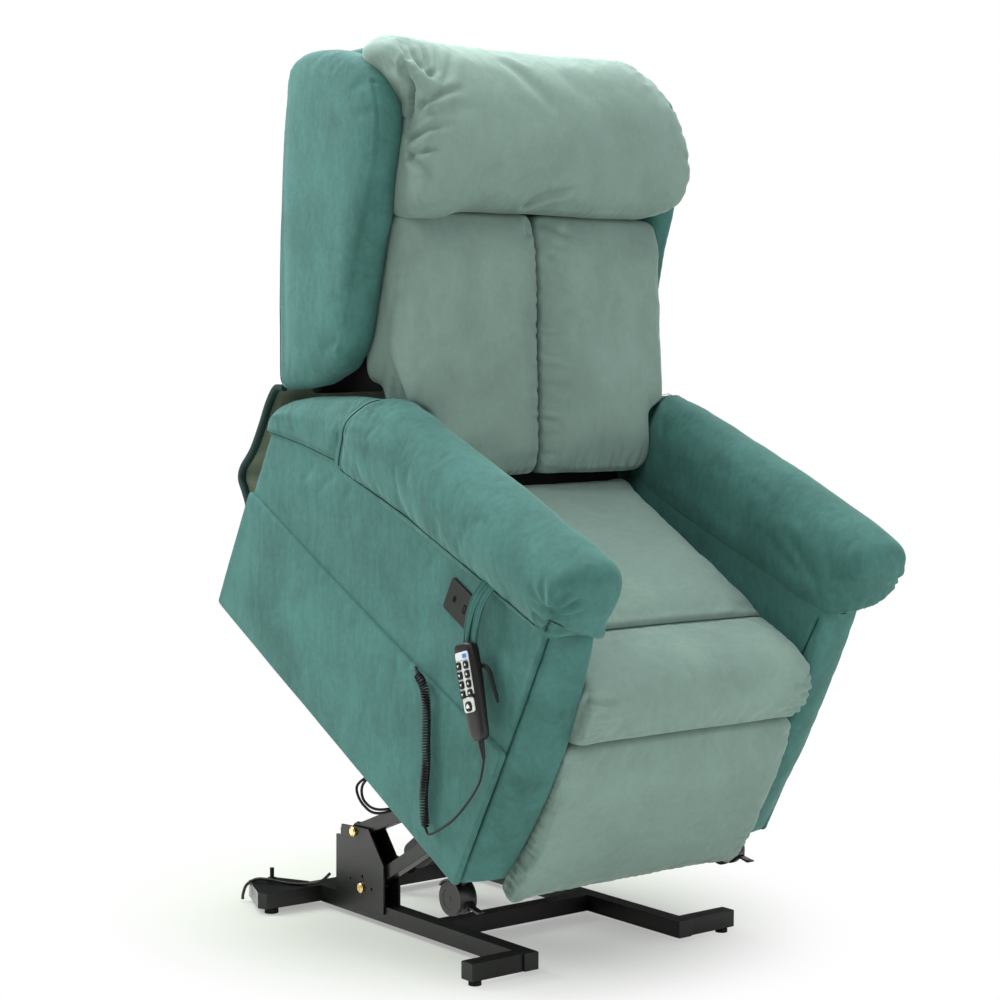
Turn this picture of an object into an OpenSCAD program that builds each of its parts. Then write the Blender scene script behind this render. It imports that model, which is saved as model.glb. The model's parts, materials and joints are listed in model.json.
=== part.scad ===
// Lift-and-recline armchair in its raised, forward-tilted pose, on a steel floor base.
// Millimetres. x runs across the chair, with the sitter's left at +x; y runs from the
// front (-y) to the back (+y); z is up from the floor. The origin lies on the floor,
// under the middle of the bounding box.

/* [Chair body] */
// Depth of the side panels, front to back
side_depth = 836; // [820:2:850]
// Height of the lower side panels at the front
valance_h = 269; // [240:1:280]
// Thickness of the seat cushion at the front seam
seat_t = 122; // [110:1:126]
// Height of the head pillow along the back
pillow_h = 278; // [240:2:284]

/* [Steel] */
// Side of the square tube of the floor base
tube = 30; // [24:1:30]
// Wall of the square tubes
wall = 2; // [1.5:0.5:3]
// Radius of the pivot pins
pin_r = 6; // [5:0.5:7]

/* [Handset] */
// Diameter of the eight small keys
key_d = 8; // [6:0.5:8.5]
// How far the keys stand proud of the handset
key_proud = 2.2; // [1.6:0.1:3]

/* [Hidden] */
$fn = 48;

steel = "#26282a";
teal = "#4f887d";
sage = "#7b9b90";
brass = "#c9a24a";
motor_black = "#1d1e20";
rod_grey = "#b9bcc0";
link_grey = "#4a4d50";
back_grey = "#3a3c3e";

// Poses: the chair in the base frame, the back in the chair frame (degrees)
centre_y = 105.16;      // shift that centres the bounding box on the origin
tilt = 28.33;           // forward tilt of the chair
chair_at = [0, -331.4, 180.5];
back_at = [0, 516, 460];
back_lean = 29.7;

// Fits
run = 0.05;             // radial clearance of a running fit
hinge_r = 6;            // back hinge
motor_pin_r = 5;        // actuator pins
leg_pin_r = 5;          // leg rest pivots

// Floor base
side_in = 160;              // inner face of the side tubes
side_out = side_in + tube;  // outer face
plate_t = 4;                // pivot plates on either side of the side tubes
plate_in = side_in - plate_t;
plate_out = side_out + plate_t;
base_z = 10;
base_top = base_z + tube;
base_end = 309;             // side tubes end at y = -base_end and base_end
front_bar_x = 293;          // outer end of the front cross bars
cap_t = 4;
rear_foot = [246, 384];     // screw foot, [x, y]

// Chair frame
rail_z = 95;
rail_top = 120;
seat_rail_z = 250;
seat_rail_top = 272;
deck_top = 284;

// Pivots are [y, z] points. Lift links: tower ends in the base frame, chair ends in the
// chair frame
tower_upper = [185, 163];
tower_lower = [160, 63];
chair_upper = [203.7, 32];
chair_lower = [178.4, -15];

// Actuators: pivots, then elevation and pivot-to-pivot length
lift_base = [285, 62];
lift_eye = [150, 215];
lift_rise = 32.87;
lift_len = 698.2;
motor_x = 90;               // recline motor at +x, leg rest motor at -x
recline_base = [112, 142];
recline_eye = [650, 203];
recline_rise = 6.469;
recline_len = 541.4;
leg_base = [520, 142];
leg_rise = 4.688;
leg_len = 408;

back_hinge = [620, 340];

// Point at a distance in front of p, at a given elevation
function ahead(p, rise, dist) = [p[0] - dist*cos(rise), p[1] + dist*sin(rise)];
// Elevation from p towards a point q in front of it
function elevation(p, q) = atan2(q[1] - p[1], p[0] - q[0]);
// Chair-frame [y, z] point in the base frame
function chair_to_base(p) = [
    chair_at.y + p[0]*cos(tilt) - p[1]*sin(tilt),
    chair_at.z + p[0]*sin(tilt) + p[1]*cos(tilt)];

// Leg rest pivots, in the chair frame
leg_pivot = [45, 235];
leg_rear_rise = -125;
leg_knee = ahead(leg_pivot, leg_rear_rise, 170);
leg_board_pivot = ahead(leg_knee, 31.7, 141.6);
leg_bar = ahead(leg_pivot, leg_rear_rise, 70);
leg_eye = leg_bar + [28, -3];

// ---------------- frames
module placed() translate([0, centre_y, 0]) children();
module lifted() translate(chair_at) rotate([tilt, 0, 0]) children();
module reclined() lifted() translate(back_at) rotate([-back_lean, 0, 0]) children();
// Local -y points forward at an elevation
module aimed(x, p, rise) translate([x, p[0], p[1]]) rotate([-rise, 0, 0]) children();
// Local -y points backward at an elevation
module aimed_back(x, p, rise) aimed(x, p, -rise) mirror([0, 1, 0]) children();
module mirrored() mirror([1, 0, 0]) children();
module both() {
    children();
    mirrored() children();
}

// ---------------- shapes
// Box from corner to corner
module box(from, to) translate(from) cube(to - from);
// Extrudes a (y, z) outline along x
module slab(x0, x1) translate([x0, 0, 0]) rotate([90, 0, 90]) linear_extrude(x1 - x0) children();
// Cylinder along x about a [y, z] point
module xcyl(x0, x1, p, r) translate([x0, p[0], p[1]]) rotate([0, 90, 0]) cylinder(r = r, h = x1 - x0);
// Cylinder on the local y axis, from y = -start forward
module fwd_cyl(start, length, r) translate([0, -start, 0]) rotate([90, 0, 0]) cylinder(r = r, h = length);
// Rounds the convex corners of an outline
module rounded(r) offset(r = r, $fn = 24) offset(delta = -r) children();

// Hollow tubes with open ends, corner to corner
module ytube(from, to) difference() {
    box(from, to);
    box(from + [wall, -1, wall], to + [-wall, 1, -wall]);
}
module xtube(from, to) difference() {
    box(from, to);
    box(from + [-1, wall, wall], to + [1, -wall, -wall]);
}

// Plate centred on x, with one hole
module lug(x, t, outline, hole, r) difference() {
    slab(x - t/2, x + t/2) polygon(outline);
    xcyl(x - t, x + t, hole, r);
}
// Pair of lugs, each set off from x
module clevis(x, off, t, outline, hole, r) for (s = [-1, 1]) lug(x + s*off, t, outline, hole, r);

// Pin through both pivot plates: round head outside, hexagon inside
module headed_pin(p) {
    xcyl(plate_in, plate_out, p, pin_r);
    xcyl(plate_out, plate_out + 4, p, 9);
    translate([plate_out + 4, p[0], p[1]]) rotate([0, 90, 0]) cylinder(r1 = 8.6, r2 = 6.4, h = 2);
    xcyl(plate_in - 5, plate_in, p, 10, $fn = 6);
}

// Cable as a chain of capsules through a list of points
module cable(path, r, n) for (i = [0:len(path) - 2]) hull() {
    translate(path[i]) sphere(r = r, $fn = n);
    translate(path[i + 1]) sphere(r = r, $fn = n);
}
// Cubic Bezier from a to d in n steps
function bezier(a, b, c, d, n) = [for (i = [0:n]) let (t = i/n, s = 1 - t)
    a*s*s*s + b*3*s*s*t + c*3*s*t*t + d*t*t*t];

// ---------------- floor base
// Foot plates at the rear corners, [x, y]
foot_plate = [[190, 301], [307, 306], [315, 324], [276, 419], [225, 412], [190, 345]];
foot_plate_hollow = [[196, 306], [302, 310], [309, 325], [272, 412], [228, 406], [196, 343]];
// Clevis of the lift motor on the rear bar, [y, z]
lift_base_lug = [[309, 40], [339, 40], [339, 52], [296, 76], [276, 74], [272, 56], [290, 40], [309, 30]];

// Foot plate, hollow and open underneath
module rear_foot_plate() difference() {
    translate([0, 0, base_z]) linear_extrude(tube) polygon(foot_plate);
    translate([0, 0, base_z - 5]) linear_extrude(tube + 5 - wall) polygon(foot_plate_hollow);
    translate(concat(rear_foot, 0)) cylinder(r = 4.1, h = 60);
}

module base_frame() color(steel) {
    both() {
        ytube([side_in, -base_end, base_z], [side_out, base_end, base_top]);
        xtube([side_out, -base_end, base_z], [front_bar_x, -base_end + tube, base_top]);
        rear_foot_plate();
    }
    xtube([-side_in, -62, base_z], [side_in, -62 + tube, base_top]);
    xtube([-side_out, base_end, base_z], [side_out, base_end + tube, base_top]);
    clevis(0, 24, 6, lift_base_lug, lift_base, motor_pin_r + run);
    xcyl(-27, 27, lift_base, motor_pin_r);
}

module end_caps() color("#1b1c1d") both() {
    box([side_in, -base_end - cap_t, base_z], [side_out, -base_end, base_top]);
    box([front_bar_x, -base_end, base_z], [front_bar_x + cap_t, -base_end + tube, base_top]);
}

module levelling_feet() color("#2b2d2e") both() {
    translate([280, -294, 0]) {
        cylinder(r = 11, h = 7);
        cylinder(r = 5, h = base_z);
    }
    translate([289, 318, 0]) {
        cylinder(r = 13, h = 8);
        cylinder(r = 7, h = 38 - wall);
    }
    translate(concat(rear_foot, 0)) {
        cylinder(r = 12, h = 6);
        cylinder(r = 4, h = 66);
        // nut
        translate([0, 0, base_top + 0.2]) rotate(10) cylinder(r = 9, h = 7, $fn = 6);
    }
}

// Outline of the tower plates above the base tube, [y, z]
tower_outline = [[244, 40], [243, 149], [229, 150], [226, 170], [177, 173], [139, 174], [91, 115], [91, 40]];
// Small holes of the tower plates: [y, z], radius
tower_holes = [[[158, 84], 3], [[196, 74], 2.2], [[128, 66], 3]];

module tower_plate(x) {
    difference() {
        slab(x, x + plate_t) polygon(tower_outline);
        for (p = [tower_upper, tower_lower]) xcyl(x - 1, x + plate_t + 1, p, pin_r + run);
        for (h = tower_holes) xcyl(x - 1, x + plate_t + 1, h[0], h[1]);
    }
    // strip beside the base tube
    box([x, 91, 26], [x + plate_t, 244, 40]);
}

module lift_towers() color(steel) both() {
    tower_plate(side_out);
    tower_plate(plate_in);
    // block and rod between the plates
    box([side_in, 228, 60], [side_out, 240, 140]);
    xcyl(side_in, side_out, [232, 159], 3);
}

module tower_pins() color(brass) both() {
    headed_pin(tower_upper);
    headed_pin(tower_lower);
}

module mains_cable() color("#111111") cable(concat(
    bezier([-196, 268, 62], [-206, 285, 50], [-225, 320, 43.6], [-240, 352, 43.5], 6),
    bezier([-240, 352, 43.5], [-262, 385, 44], [-290, 430, 62], [-292, 436, 5], 7)), 2.6, 8);

// ---------------- lift linkage
// Pair of hollow links with an eye at each end, from a tower pivot to a chair pivot.
// far_r is the hole radius at the chair end.
module links(tower, chair, h, far_r) {
    end = chair_to_base(chair);
    length = norm(end - tower);
    x0 = side_in + 3;
    x1 = side_out - 3;
    both() aimed(0, tower, elevation(tower, end)) difference() {
        union() {
            box([x0, -length + 8, -h/2], [x1, -8, h/2]);
            for (y = [0, -length]) xcyl(x0, x1, [y, 0], h/2 + 3);
        }
        box([x0 + wall, -length + 16, -h/2 + wall], [x1 - wall, -16, h/2 - wall]);
        xcyl(x0 - 1, x1 + 1, [0, 0], pin_r + run);
        xcyl(x0 - 1, x1 + 1, [-length, 0], far_r);
    }
}
module upper_links() color(steel) links(tower_upper, chair_upper, 25, pin_r + run);
module lower_links() color(steel) links(tower_lower, chair_lower, 24, pin_r + 1);

// ---------------- actuators, along local -y from their base pivot
rod_r = 11;
// length: pivot to the start of the end collar; housing_d: diameter of the housing at its pivot end
module actuator_body(length, housing_d) difference() {
    union() {
        xcyl(-13, 13, [0, 0], 13);
        box([-10, -34, -12], [10, 0, 12]);
        hull() {
            fwd_cyl(34, 6, housing_d/2, $fn = 32);
            fwd_cyl(94, 6, housing_d/2 + 2, $fn = 32);
        }
        fwd_cyl(100, length - 100, 20);
        fwd_cyl(length, 12, 23);
    }
    xcyl(-20, 20, [0, 0], motor_pin_r + run);
    fwd_cyl(102, length, rod_r + run);
}
// Rod from start to its eye at the given distance
module actuator_rod(start, eye) difference() {
    union() {
        fwd_cyl(start, eye - start - 10, rod_r);
        xcyl(-10, 10, [-eye, 0], 13);
    }
    xcyl(-11, 11, [-eye, 0], 6);
}
module lift_motor() color(motor_black) aimed(0, lift_base, lift_rise) actuator_body(540, 56);
module lift_rod() color(rod_grey) aimed(0, lift_base, lift_rise) actuator_rod(400, lift_len);

// ---------------- chair frame
// Plate outlines, [y, z]
lift_bracket = [[150, 120], [245, 120], [240, 60], [222, 22], [200, -32], [170, -34], [160, -10], [160, 60]];
leg_lug = [[25, 260], [65, 260], [60, 225], [45, 218], [30, 225]];
hinge_plate = [[595, 260], [640, 260], [645, 330], [638, 352], [620, 360], [602, 352], [595, 330]];
lift_eye_lug = [[165, 262], [187, 262], [187, 250], [166, 205], [150, 199], [136, 208], [136, 222]];
recline_lug = [[102, 110], [125, 110], [128, 142], [120, 154], [104, 154], [98, 142]];
leg_motor_lug = [[507, 110], [532, 110], [536, 142], [528, 156], [512, 156], [505, 142]];

// Clevis and pin of a motor mounted on the chair frame
module motor_mount(x, outline, p) {
    clevis(x, 17, 5, outline, p, motor_pin_r + run);
    xcyl(x - 19, x + 19, p, motor_pin_r);
}

module chair_frame() color(steel) lifted() {
    both() {
        ytube([side_in, 40, rail_z], [side_out, 790, rail_top]);
        // brackets of the lift links; only the outer one has the lower hole
        for (x = [plate_in, side_out]) difference() {
            slab(x, x + plate_t) polygon(lift_bracket);
            xcyl(x - 1, x + plate_t + 1, chair_upper, pin_r + run);
            if (x == side_out) xcyl(x - 1, x + plate_t + 1, chair_lower, 4);
        }
        headed_pin(chair_upper);
        // outriggers and uprights
        for (y = [300, 600]) {
            box([side_out, y, rail_z], [243, y + 25, rail_top]);
            box([228, y, rail_top], [243, y + 25, seat_rail_z]);
        }
        ytube([225, 12, seat_rail_z], [245, 640, seat_rail_top]);
        lug(225.5, 5, leg_lug, leg_pivot, leg_pin_r + run);
        lug(236, 5, hinge_plate, back_hinge, hinge_r + run);
        xcyl(233.5, 238.5, back_hinge, hinge_r);
    }
    // cross tubes, lower and under the seat
    for (y = [100, 507, 765])
        xtube([-side_in, y, rail_z], [side_in, y + 25, rail_top]);
    for (y = [165, 535])
        xtube([-225, y, seat_rail_z], [225, y + 22, seat_rail_top]);
    clevis(0, 17, 4, lift_eye_lug, lift_eye, 5);
    motor_mount(motor_x, recline_lug, recline_base);
    motor_mount(-motor_x, leg_motor_lug, leg_base);
}

// ---------------- seat, arms and panels
module seat_deck() color("#b08d5e") lifted() difference() {
    box([-244, 14, seat_rail_top + 0.3], [244, 550, deck_top]);
    for (x = [-150, -50, 50, 150], y = [150, 300, 450])
        translate([x, y, 260]) cylinder(r = 20, h = 40);
}

// Side view of the seat cushion, [y, z]
seat_outline = [[-24, 288], [-46, 340], [-44, 372], [-28, 396], [20, 410], [100, 408],
    [110, deck_top + seat_t], [130, 414], [300, 422], [500, 426], [534, 420], [536, 300], [525, 286]];
module seat_cushion() color(sage) lifted() slab(-247, 247) rounded(18) polygon(seat_outline);

// Side view of the arm, [y, z]: floor side, back edge, slope up to the pad, top
arm_outline = [[2, 2], [side_depth - 2, 2], [side_depth - 2, 330], [812, 410], [776, 470],
    [728, 511], [660, 537], [600, 546], [597, 512], [560, 506], [470, 501], [0, 496]];
module arm_body_left() color(teal) lifted() {
    slab(252, 344.5) rounded(14) polygon(arm_outline);
    // padded bulge of the front
    hull() {
        box([258, 3, 30], [338, 6, 480]);
        box([272, -14, 90], [326, -12, 440]);
    }
}
module arm_body_right() mirrored() arm_body_left();

// Edge rolls of the arm pad: y, z, radius
arm_pad_rolls = [[-10, 530, 27], [-10, 604, 22], [560, 536, 22], [545, 566, 20]];
module arm_pad_left() color(teal) lifted() hull() for (e = arm_pad_rolls)
    for (x = [248 + e[2], 388 - e[2]])
        translate([x, e[0], e[1]]) sphere(r = e[2], $fn = 24);
module arm_pad_right() mirrored() arm_pad_left();

module side_panel_left() color("#447a70") lifted() slab(345, 352) rounded(10)
    polygon([[0, 0], [side_depth, 0], [side_depth, valance_h - 24], [0, valance_h]]);
module side_panel_right() mirrored() side_panel_left();

module rear_panel() color(teal) lifted() box([-250, 812, 4], [250, 826, 262]);

// ---------------- handset and electrics, on the sitter's right
module socket_plate() color("#2c3234") lifted() difference() {
    slab(-348.5, -345) rounded(5) polygon([[167, 384], [242, 384], [242, 442], [167, 442]]);
    for (y = [190, 217]) box([-350, y - 3, 402], [-346.5, y + 3, 420]);
}

// Two flat bands hanging over the pad edge
module handset_strap() color(teal) lifted() for (s = [0, 1]) hull() {
    translate([-350, 152 - 22*s, 472]) cube([1.6, 13, 4]);
    translate([-358.6, 90 - 6*s, 378]) cube([1.6, 13, 4]);
}

// Handset frame: key face towards -x, long axis along z
handset_at = [-375, 80, 322];
handset_turn = 43.6;
case_x = 11;            // half thickness of the case
key_gap = 0.4;          // radial gap around a key
big_key = [0, -13];     // [y, z]
big_key_r = 8.5;
// Small keys 1 to 8: two columns, odd numbers at -y, rows from the top, [y, z]
function key_at(n) = [n % 2 == 1 ? -9.5 : 9.5, 52 - 15*floor((n - 1)/2)];

module on_handset() lifted() translate(handset_at) rotate([-handset_turn, 0, 0]) children();
module key_hole(p, r) xcyl(-case_x - 0.5, -5.5, p, r + key_gap);

module handset_body() color("#18191a") on_handset() {
    difference() {
        union() {
            slab(-case_x, case_x) rounded(12) polygon([[-25, -66], [25, -66], [25, 78], [-25, 78]]);
            // tapered lower end
            slab(-7, 7) rounded(6) polygon([[-12, -84], [12, -84], [16, -60], [-16, -60]]);
        }
        for (n = [1:8]) key_hole(key_at(n), key_d/2);
        key_hole(big_key, big_key_r);
        // recess above the keys
        box([-12, -16, 62], [-9.8, 16, 70]);
    }
    // hook on the back
    difference() {
        slab(case_x, case_x + 4) rounded(7) polygon([[-14, 10], [14, 10], [14, 96], [-14, 96]]);
        slab(10, 16) polygon([[-8, 30], [8, 30], [8, 84], [-8, 84]]);
    }
}

module key(p, r) color("#101112") on_handset() xcyl(-case_x - key_proud, -7.4, p, r);
module small_key(n) key(key_at(n), key_d/2);
module key_1() small_key(1);
module key_2() small_key(2);
module key_3() small_key(3);
module key_4() small_key(4);
module key_5() small_key(5);
module key_6() small_key(6);
module key_7() small_key(7);
module key_8() small_key(8);
module key_9() key(big_key, big_key_r);

// Coiled cable as a plain sleeve over the coil
coil_path = [[-361, 227, 261], [-361, 207, 252], [-361, 185, 226], [-361, 160, 178],
    [-361, 142, 145], [-361, 118, 88], [-361, 96, 52]];
module coil_cable() color("#141516") lifted() cable(coil_path, 7, 10);

module control_box() color("#232527") lifted() difference() {
    box([-60, 560, 124], [60, 720, 170]);
    // sockets in the rear face
    for (x = [-30, 0, 30]) box([x - 8, 700, 140], [x + 8, 721, 152]);
}

module actuator_cables() color("#101010") lifted()
    cable(bezier([-60, 330, 92], [-130, 420, 40], [-150, 380, -50], [-60, 285, -10], 7), 2.4, 8);

// ---------------- castors, under the front of the arms
axle = [32, -56];       // [y, z]
axle_r = 4;
module on_castor() lifted() translate([305, 0, 0]) children();

module castor_housing_left() color("#1a1b1c") on_castor() {
    // mounting disc and stem
    translate([0, 30, -4]) cylinder(r = 17, h = 3.5);
    translate([0, 30, -24]) cylinder(r = 7, h = 21);
    difference() {
        union() {
            // disc between the wheels
            difference() {
                xcyl(-6, 6, axle, 26);
                box([-15, 0, -90], [15, 70, -60]);
            }
            // hood over the wheels
            difference() {
                xcyl(-17, 17, axle, 33);
                xcyl(-18, 18, axle, 29.8);
                box([-25, -20, -100], [25, 80, -52]);
            }
            box([-6, 20, -32], [6, 44, -24]);
            box([-8, -8, -50], [8, 4, -40]);
        }
        // slot of the brake lever
        box([-7, -9, -49], [7, 2, -41]);
        xcyl(-25, 25, axle, axle_r + run);
    }
}
module castor_housing_right() mirrored() castor_housing_left();

module castor_wheels_left() color("#2e3032") on_castor() {
    both() difference() {
        xcyl(7, 15, axle, 28.5);
        xcyl(14.5, 16, axle, 18);
    }
    xcyl(-15, 15, axle, axle_r);
}
module castor_wheels_right() mirrored() castor_wheels_left();

// Side view of the brake lever, [y, z]
brake_lever = [[-1, -47.5], [-30, -40], [-34, -36], [-33, -33.5], [-28, -36], [-1, -44.5]];
module castor_brake_left() color("#121314") on_castor() {
    slab(-6, 6) polygon(brake_lever);
    xcyl(-6, 6, [-1, -46], 2.4);
}
module castor_brake_right() mirrored() castor_brake_left();

// ---------------- back
// Steel plates in the chair frame, [y, z]
hinge_arm = [[602, 484], [690, 446], [668, 330], [640, 318], [600, 318], [585, 360]];
recline_lever = [[590, 402], [660, 392], [672, 205], [664, 190], [636, 190], [628, 205]];
// Side views in the frame of the reclined back, [y, z]
back_outline = [[276, 168], [292, 168], [241, 712], [226, 728], [64, 728], [64, 714], [218, 710]];
wing_outline = [[36, 190], [94, 166], [217, 153], [300, 150], [246, 722], [201, 735], [108, 728],
    [20, 698], [-24, 662], [-36, 592], [-31, 518], [15, 437], [43, 333], [47, 242]];
cushion_outline = [[-12, 2], [-40, 40], [-46, 200], [-42, 380], [-20, 452], [40, 452],
    [56, 440], [56, 20], [40, 4]];
cushion_side_outline = [[-30, 196], [-34, 380], [-16, 446], [36, 446], [50, 434], [50, 196]];

module back_frame() {
    color(back_grey) lifted() {
        both() {
            lug(229, 5, hinge_arm, back_hinge, hinge_r + run);
            xcyl(226.5, 231.5, back_hinge, hinge_r - run);
        }
        clevis(motor_x, 19.5, 5, recline_lever, recline_eye, 5);
        box([-228, 600, 378], [228, 640, 400]);
    }
    // wooden posts and rails
    color("#9c7b4f") reclined() {
        both() box([208, 60, 20], [238, 100, 690]);
        for (z = [20, 330, 650]) box([-208, 60, z], [208, 100, z + 40]);
    }
}

module back_panel() color(teal) reclined() slab(-283, 283) polygon(back_outline);

module wing_left() color(teal) reclined() slab(286, 345) rounded(9) polygon(wing_outline);
module wing_right() mirrored() wing_left();

// Narrow between the arms, wider above them
module back_cushion_left() color(sage) reclined() {
    slab(1, 244) rounded(14) polygon(cushion_outline);
    slab(240, 283) rounded(14) polygon(cushion_side_outline);
}
module back_cushion_right() mirrored() back_cushion_left();

// Rolls that the pillow is stretched over: y, z, radius
pillow_rolls = [[-20, 490, 26], [-58, 530, 34], [-52, 610, 44],
    [-6, 410 + pillow_h, 50], [16, 420 + pillow_h, 38], [22, 560, 30]];
module head_pillow() color(sage) reclined() hull() for (s = [-1, 1]) for (e = pillow_rolls)
    translate([s*(280 - e[2]), e[0], e[1]]) sphere(r = e[2], $fn = 20);

// Side view of the rear flap in the chair frame, [y, z]
flap_outline = [[862, 434], [884, 436], [898, 372], [901, 300], [897, 300], [893, 368],
    [880, 430], [862, 430]];
module rear_flap() color(teal) lifted() slab(-336, 336) polygon(flap_outline);

module on_recline() lifted() aimed_back(motor_x, recline_base, recline_rise) children();
module recline_motor() color(motor_black) on_recline() actuator_body(350, 48);
module recline_rod() color(rod_grey) on_recline() actuator_rod(250, recline_len);

// ---------------- leg rest
// Lug on the cross bar, [y, z] from the bar's centre
leg_bar_lug = [[-6, -7], [7, -9], [38, -14], [40, 8], [7, 7]];
// Lug on the back of the board, [y, z]
board_lug = [[5, 130], [5, 210], [16, 205], [32, 182], [34, 166], [26, 156], [16, 140]];

module legrest_rear_links() color(link_grey) lifted() {
    both() {
        hull() {
            xcyl(216, 221, leg_pivot, 11);
            xcyl(216, 221, leg_knee, 11);
        }
        xcyl(216, 228.5, leg_pivot, leg_pin_r);
        xcyl(209.5, 221, leg_knee, leg_pin_r);
    }
    // cross bar
    box([-216, leg_bar[0] - 7, leg_bar[1] - 7], [216, leg_bar[0] + 7, leg_bar[1] + 7]);
    clevis(-motor_x, 17, 5, [for (p = leg_bar_lug) leg_bar + p], leg_eye, 5);
}

module legrest_front_links() color(link_grey) lifted() both() difference() {
    hull() for (p = [leg_knee, leg_board_pivot]) xcyl(209.5, 214.5, p, 10);
    for (p = [leg_knee, leg_board_pivot]) xcyl(208.5, 215.5, p, leg_pin_r + run);
}

module legrest_board() {
    color("#a5865a") lifted() box([-236, -5, -14], [236, 5, 264]);
    color(link_grey) lifted() both() {
        lug(206, 5, board_lug, leg_board_pivot, 2);
        xcyl(208.5, 214.5, leg_board_pivot, leg_pin_r);
    }
}

module legrest_cushion() color(sage) lifted() hull() {
    box([-238, -9, -18], [238, -5.4, 270]);
    box([-244, -22, -24], [244, -18, 277]);
    box([-232, -32, -10], [232, -30, 262]);
}

module on_leg_motor() lifted() aimed(-motor_x, leg_base, leg_rise) children();
module legrest_motor() color(motor_black) on_leg_motor() actuator_body(290, 48);
module legrest_rod() color(rod_grey) on_leg_motor() actuator_rod(130, leg_len);

placed() base_frame();
placed() end_caps();
placed() levelling_feet();
placed() lift_towers();
placed() tower_pins();
placed() mains_cable();
placed() upper_links();
placed() lower_links();
placed() lift_motor();
placed() lift_rod();
placed() chair_frame();
placed() seat_deck();
placed() seat_cushion();
placed() arm_body_left();
placed() arm_body_right();
placed() arm_pad_left();
placed() arm_pad_right();
placed() side_panel_left();
placed() side_panel_right();
placed() rear_panel();
placed() socket_plate();
placed() handset_strap();
placed() handset_body();
placed() coil_cable();
placed() control_box();
placed() actuator_cables();
placed() key_1();
placed() key_2();
placed() key_3();
placed() key_4();
placed() key_5();
placed() key_6();
placed() key_7();
placed() key_8();
placed() key_9();
placed() castor_housing_left();
placed() castor_wheels_left();
placed() castor_brake_left();
placed() castor_housing_right();
placed() castor_wheels_right();
placed() castor_brake_right();
placed() back_frame();
placed() back_panel();
placed() wing_left();
placed() wing_right();
placed() back_cushion_left();
placed() back_cushion_right();
placed() head_pillow();
placed() rear_flap();
placed() recline_motor();
placed() recline_rod();
placed() legrest_rear_links();
placed() legrest_front_links();
placed() legrest_board();
placed() legrest_cushion();
placed() legrest_motor();
placed() legrest_rod();
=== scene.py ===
"""Lift-and-recline armchair: sage velvet cushions in a teal velvet shell on a black steel base.

The chair faces -y, its left side is +x and z is up; lengths are in metres.
Soft pieces are modelled in the chair frame or the back frame and then moved to the world.
They replace the matching CAD pieces; the metal, wood and plastic CAD pieces are only dressed.
"""
import json
import math

import bpy
import numpy as np
from mathutils import Matrix, Vector, noise
from mathutils.bvhtree import BVHTree


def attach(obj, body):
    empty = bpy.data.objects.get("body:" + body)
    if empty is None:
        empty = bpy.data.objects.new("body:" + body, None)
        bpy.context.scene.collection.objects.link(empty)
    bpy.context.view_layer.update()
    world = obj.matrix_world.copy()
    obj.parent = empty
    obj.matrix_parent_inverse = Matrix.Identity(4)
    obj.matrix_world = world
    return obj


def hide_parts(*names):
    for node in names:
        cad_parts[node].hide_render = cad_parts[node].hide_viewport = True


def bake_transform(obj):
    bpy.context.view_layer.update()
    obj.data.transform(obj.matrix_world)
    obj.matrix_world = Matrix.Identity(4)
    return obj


with open("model.json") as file:
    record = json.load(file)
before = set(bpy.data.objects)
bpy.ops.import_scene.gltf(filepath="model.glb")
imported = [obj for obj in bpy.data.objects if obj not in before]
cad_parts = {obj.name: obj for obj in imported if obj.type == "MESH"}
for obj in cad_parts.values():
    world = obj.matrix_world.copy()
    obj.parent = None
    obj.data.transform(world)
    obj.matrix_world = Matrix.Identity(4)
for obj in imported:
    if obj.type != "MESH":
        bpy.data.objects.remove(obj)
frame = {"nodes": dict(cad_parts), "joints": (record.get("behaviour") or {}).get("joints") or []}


def write_size():
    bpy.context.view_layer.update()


write_size()

scene = bpy.context.scene
RNG = np.random.default_rng(7)
rand = RNG.uniform
SIDES = (1, -1)
SIDE_NAME = {1: "left", -1: "right"}
VOXEL = 0.0068  # remesh size of the soft pieces


# ------------------------------------------------------------------ frames
# chair frame: y to the rear, z up from the bottoms of the side panels
# back frame: y to the rear, z up along the back
def pose(angle, shift=(0, 0, 0)):
    """Turn about x followed by a shift, as a 4 x 4 matrix."""
    cos, sin = math.cos(angle), math.sin(angle)
    matrix = np.eye(4)
    matrix[:3, :3] = [[1, 0, 0], [0, cos, -sin], [0, sin, cos]]
    matrix[:3, 3] = shift
    return matrix


def moved(points, matrix):
    return np.asarray(points, float) @ matrix[:3, :3].T + matrix[:3, 3]


RECLINE_YZ = np.array([0.620, 0.340])  # the two pivots in the chair frame
LEGREST_YZ = np.array([0.045, 0.235])
joints = {joint["name"]: joint for joint in frame["joints"]}
recline = np.array(joints["recline"]["pos_m"], float)
legrest = np.array(joints["legrest"]["pos_m"], float)
span = recline - legrest
chair_span = RECLINE_YZ - LEGREST_YZ
TILT = math.atan2(span[2], span[1]) - math.atan2(chair_span[1], chair_span[0])

WORLD = np.eye(4)
CHAIR = pose(TILT)
CHAIR[:3, 3] = np.array([0, *recline[1:]]) - CHAIR[:3, :3] @ np.array([0, *RECLINE_YZ])
BACK = CHAIR @ pose(math.radians(-29.7), (0, 0.516, 0.460))
HANDSET = CHAIR @ pose(math.radians(-43.6), (-0.375, 0.080, 0.322))
# shift of the base along y
BASE_Y = legrest[1] - (
    -0.3314 + LEGREST_YZ[0] * math.cos(TILT) - LEGREST_YZ[1] * math.sin(TILT))


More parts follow.
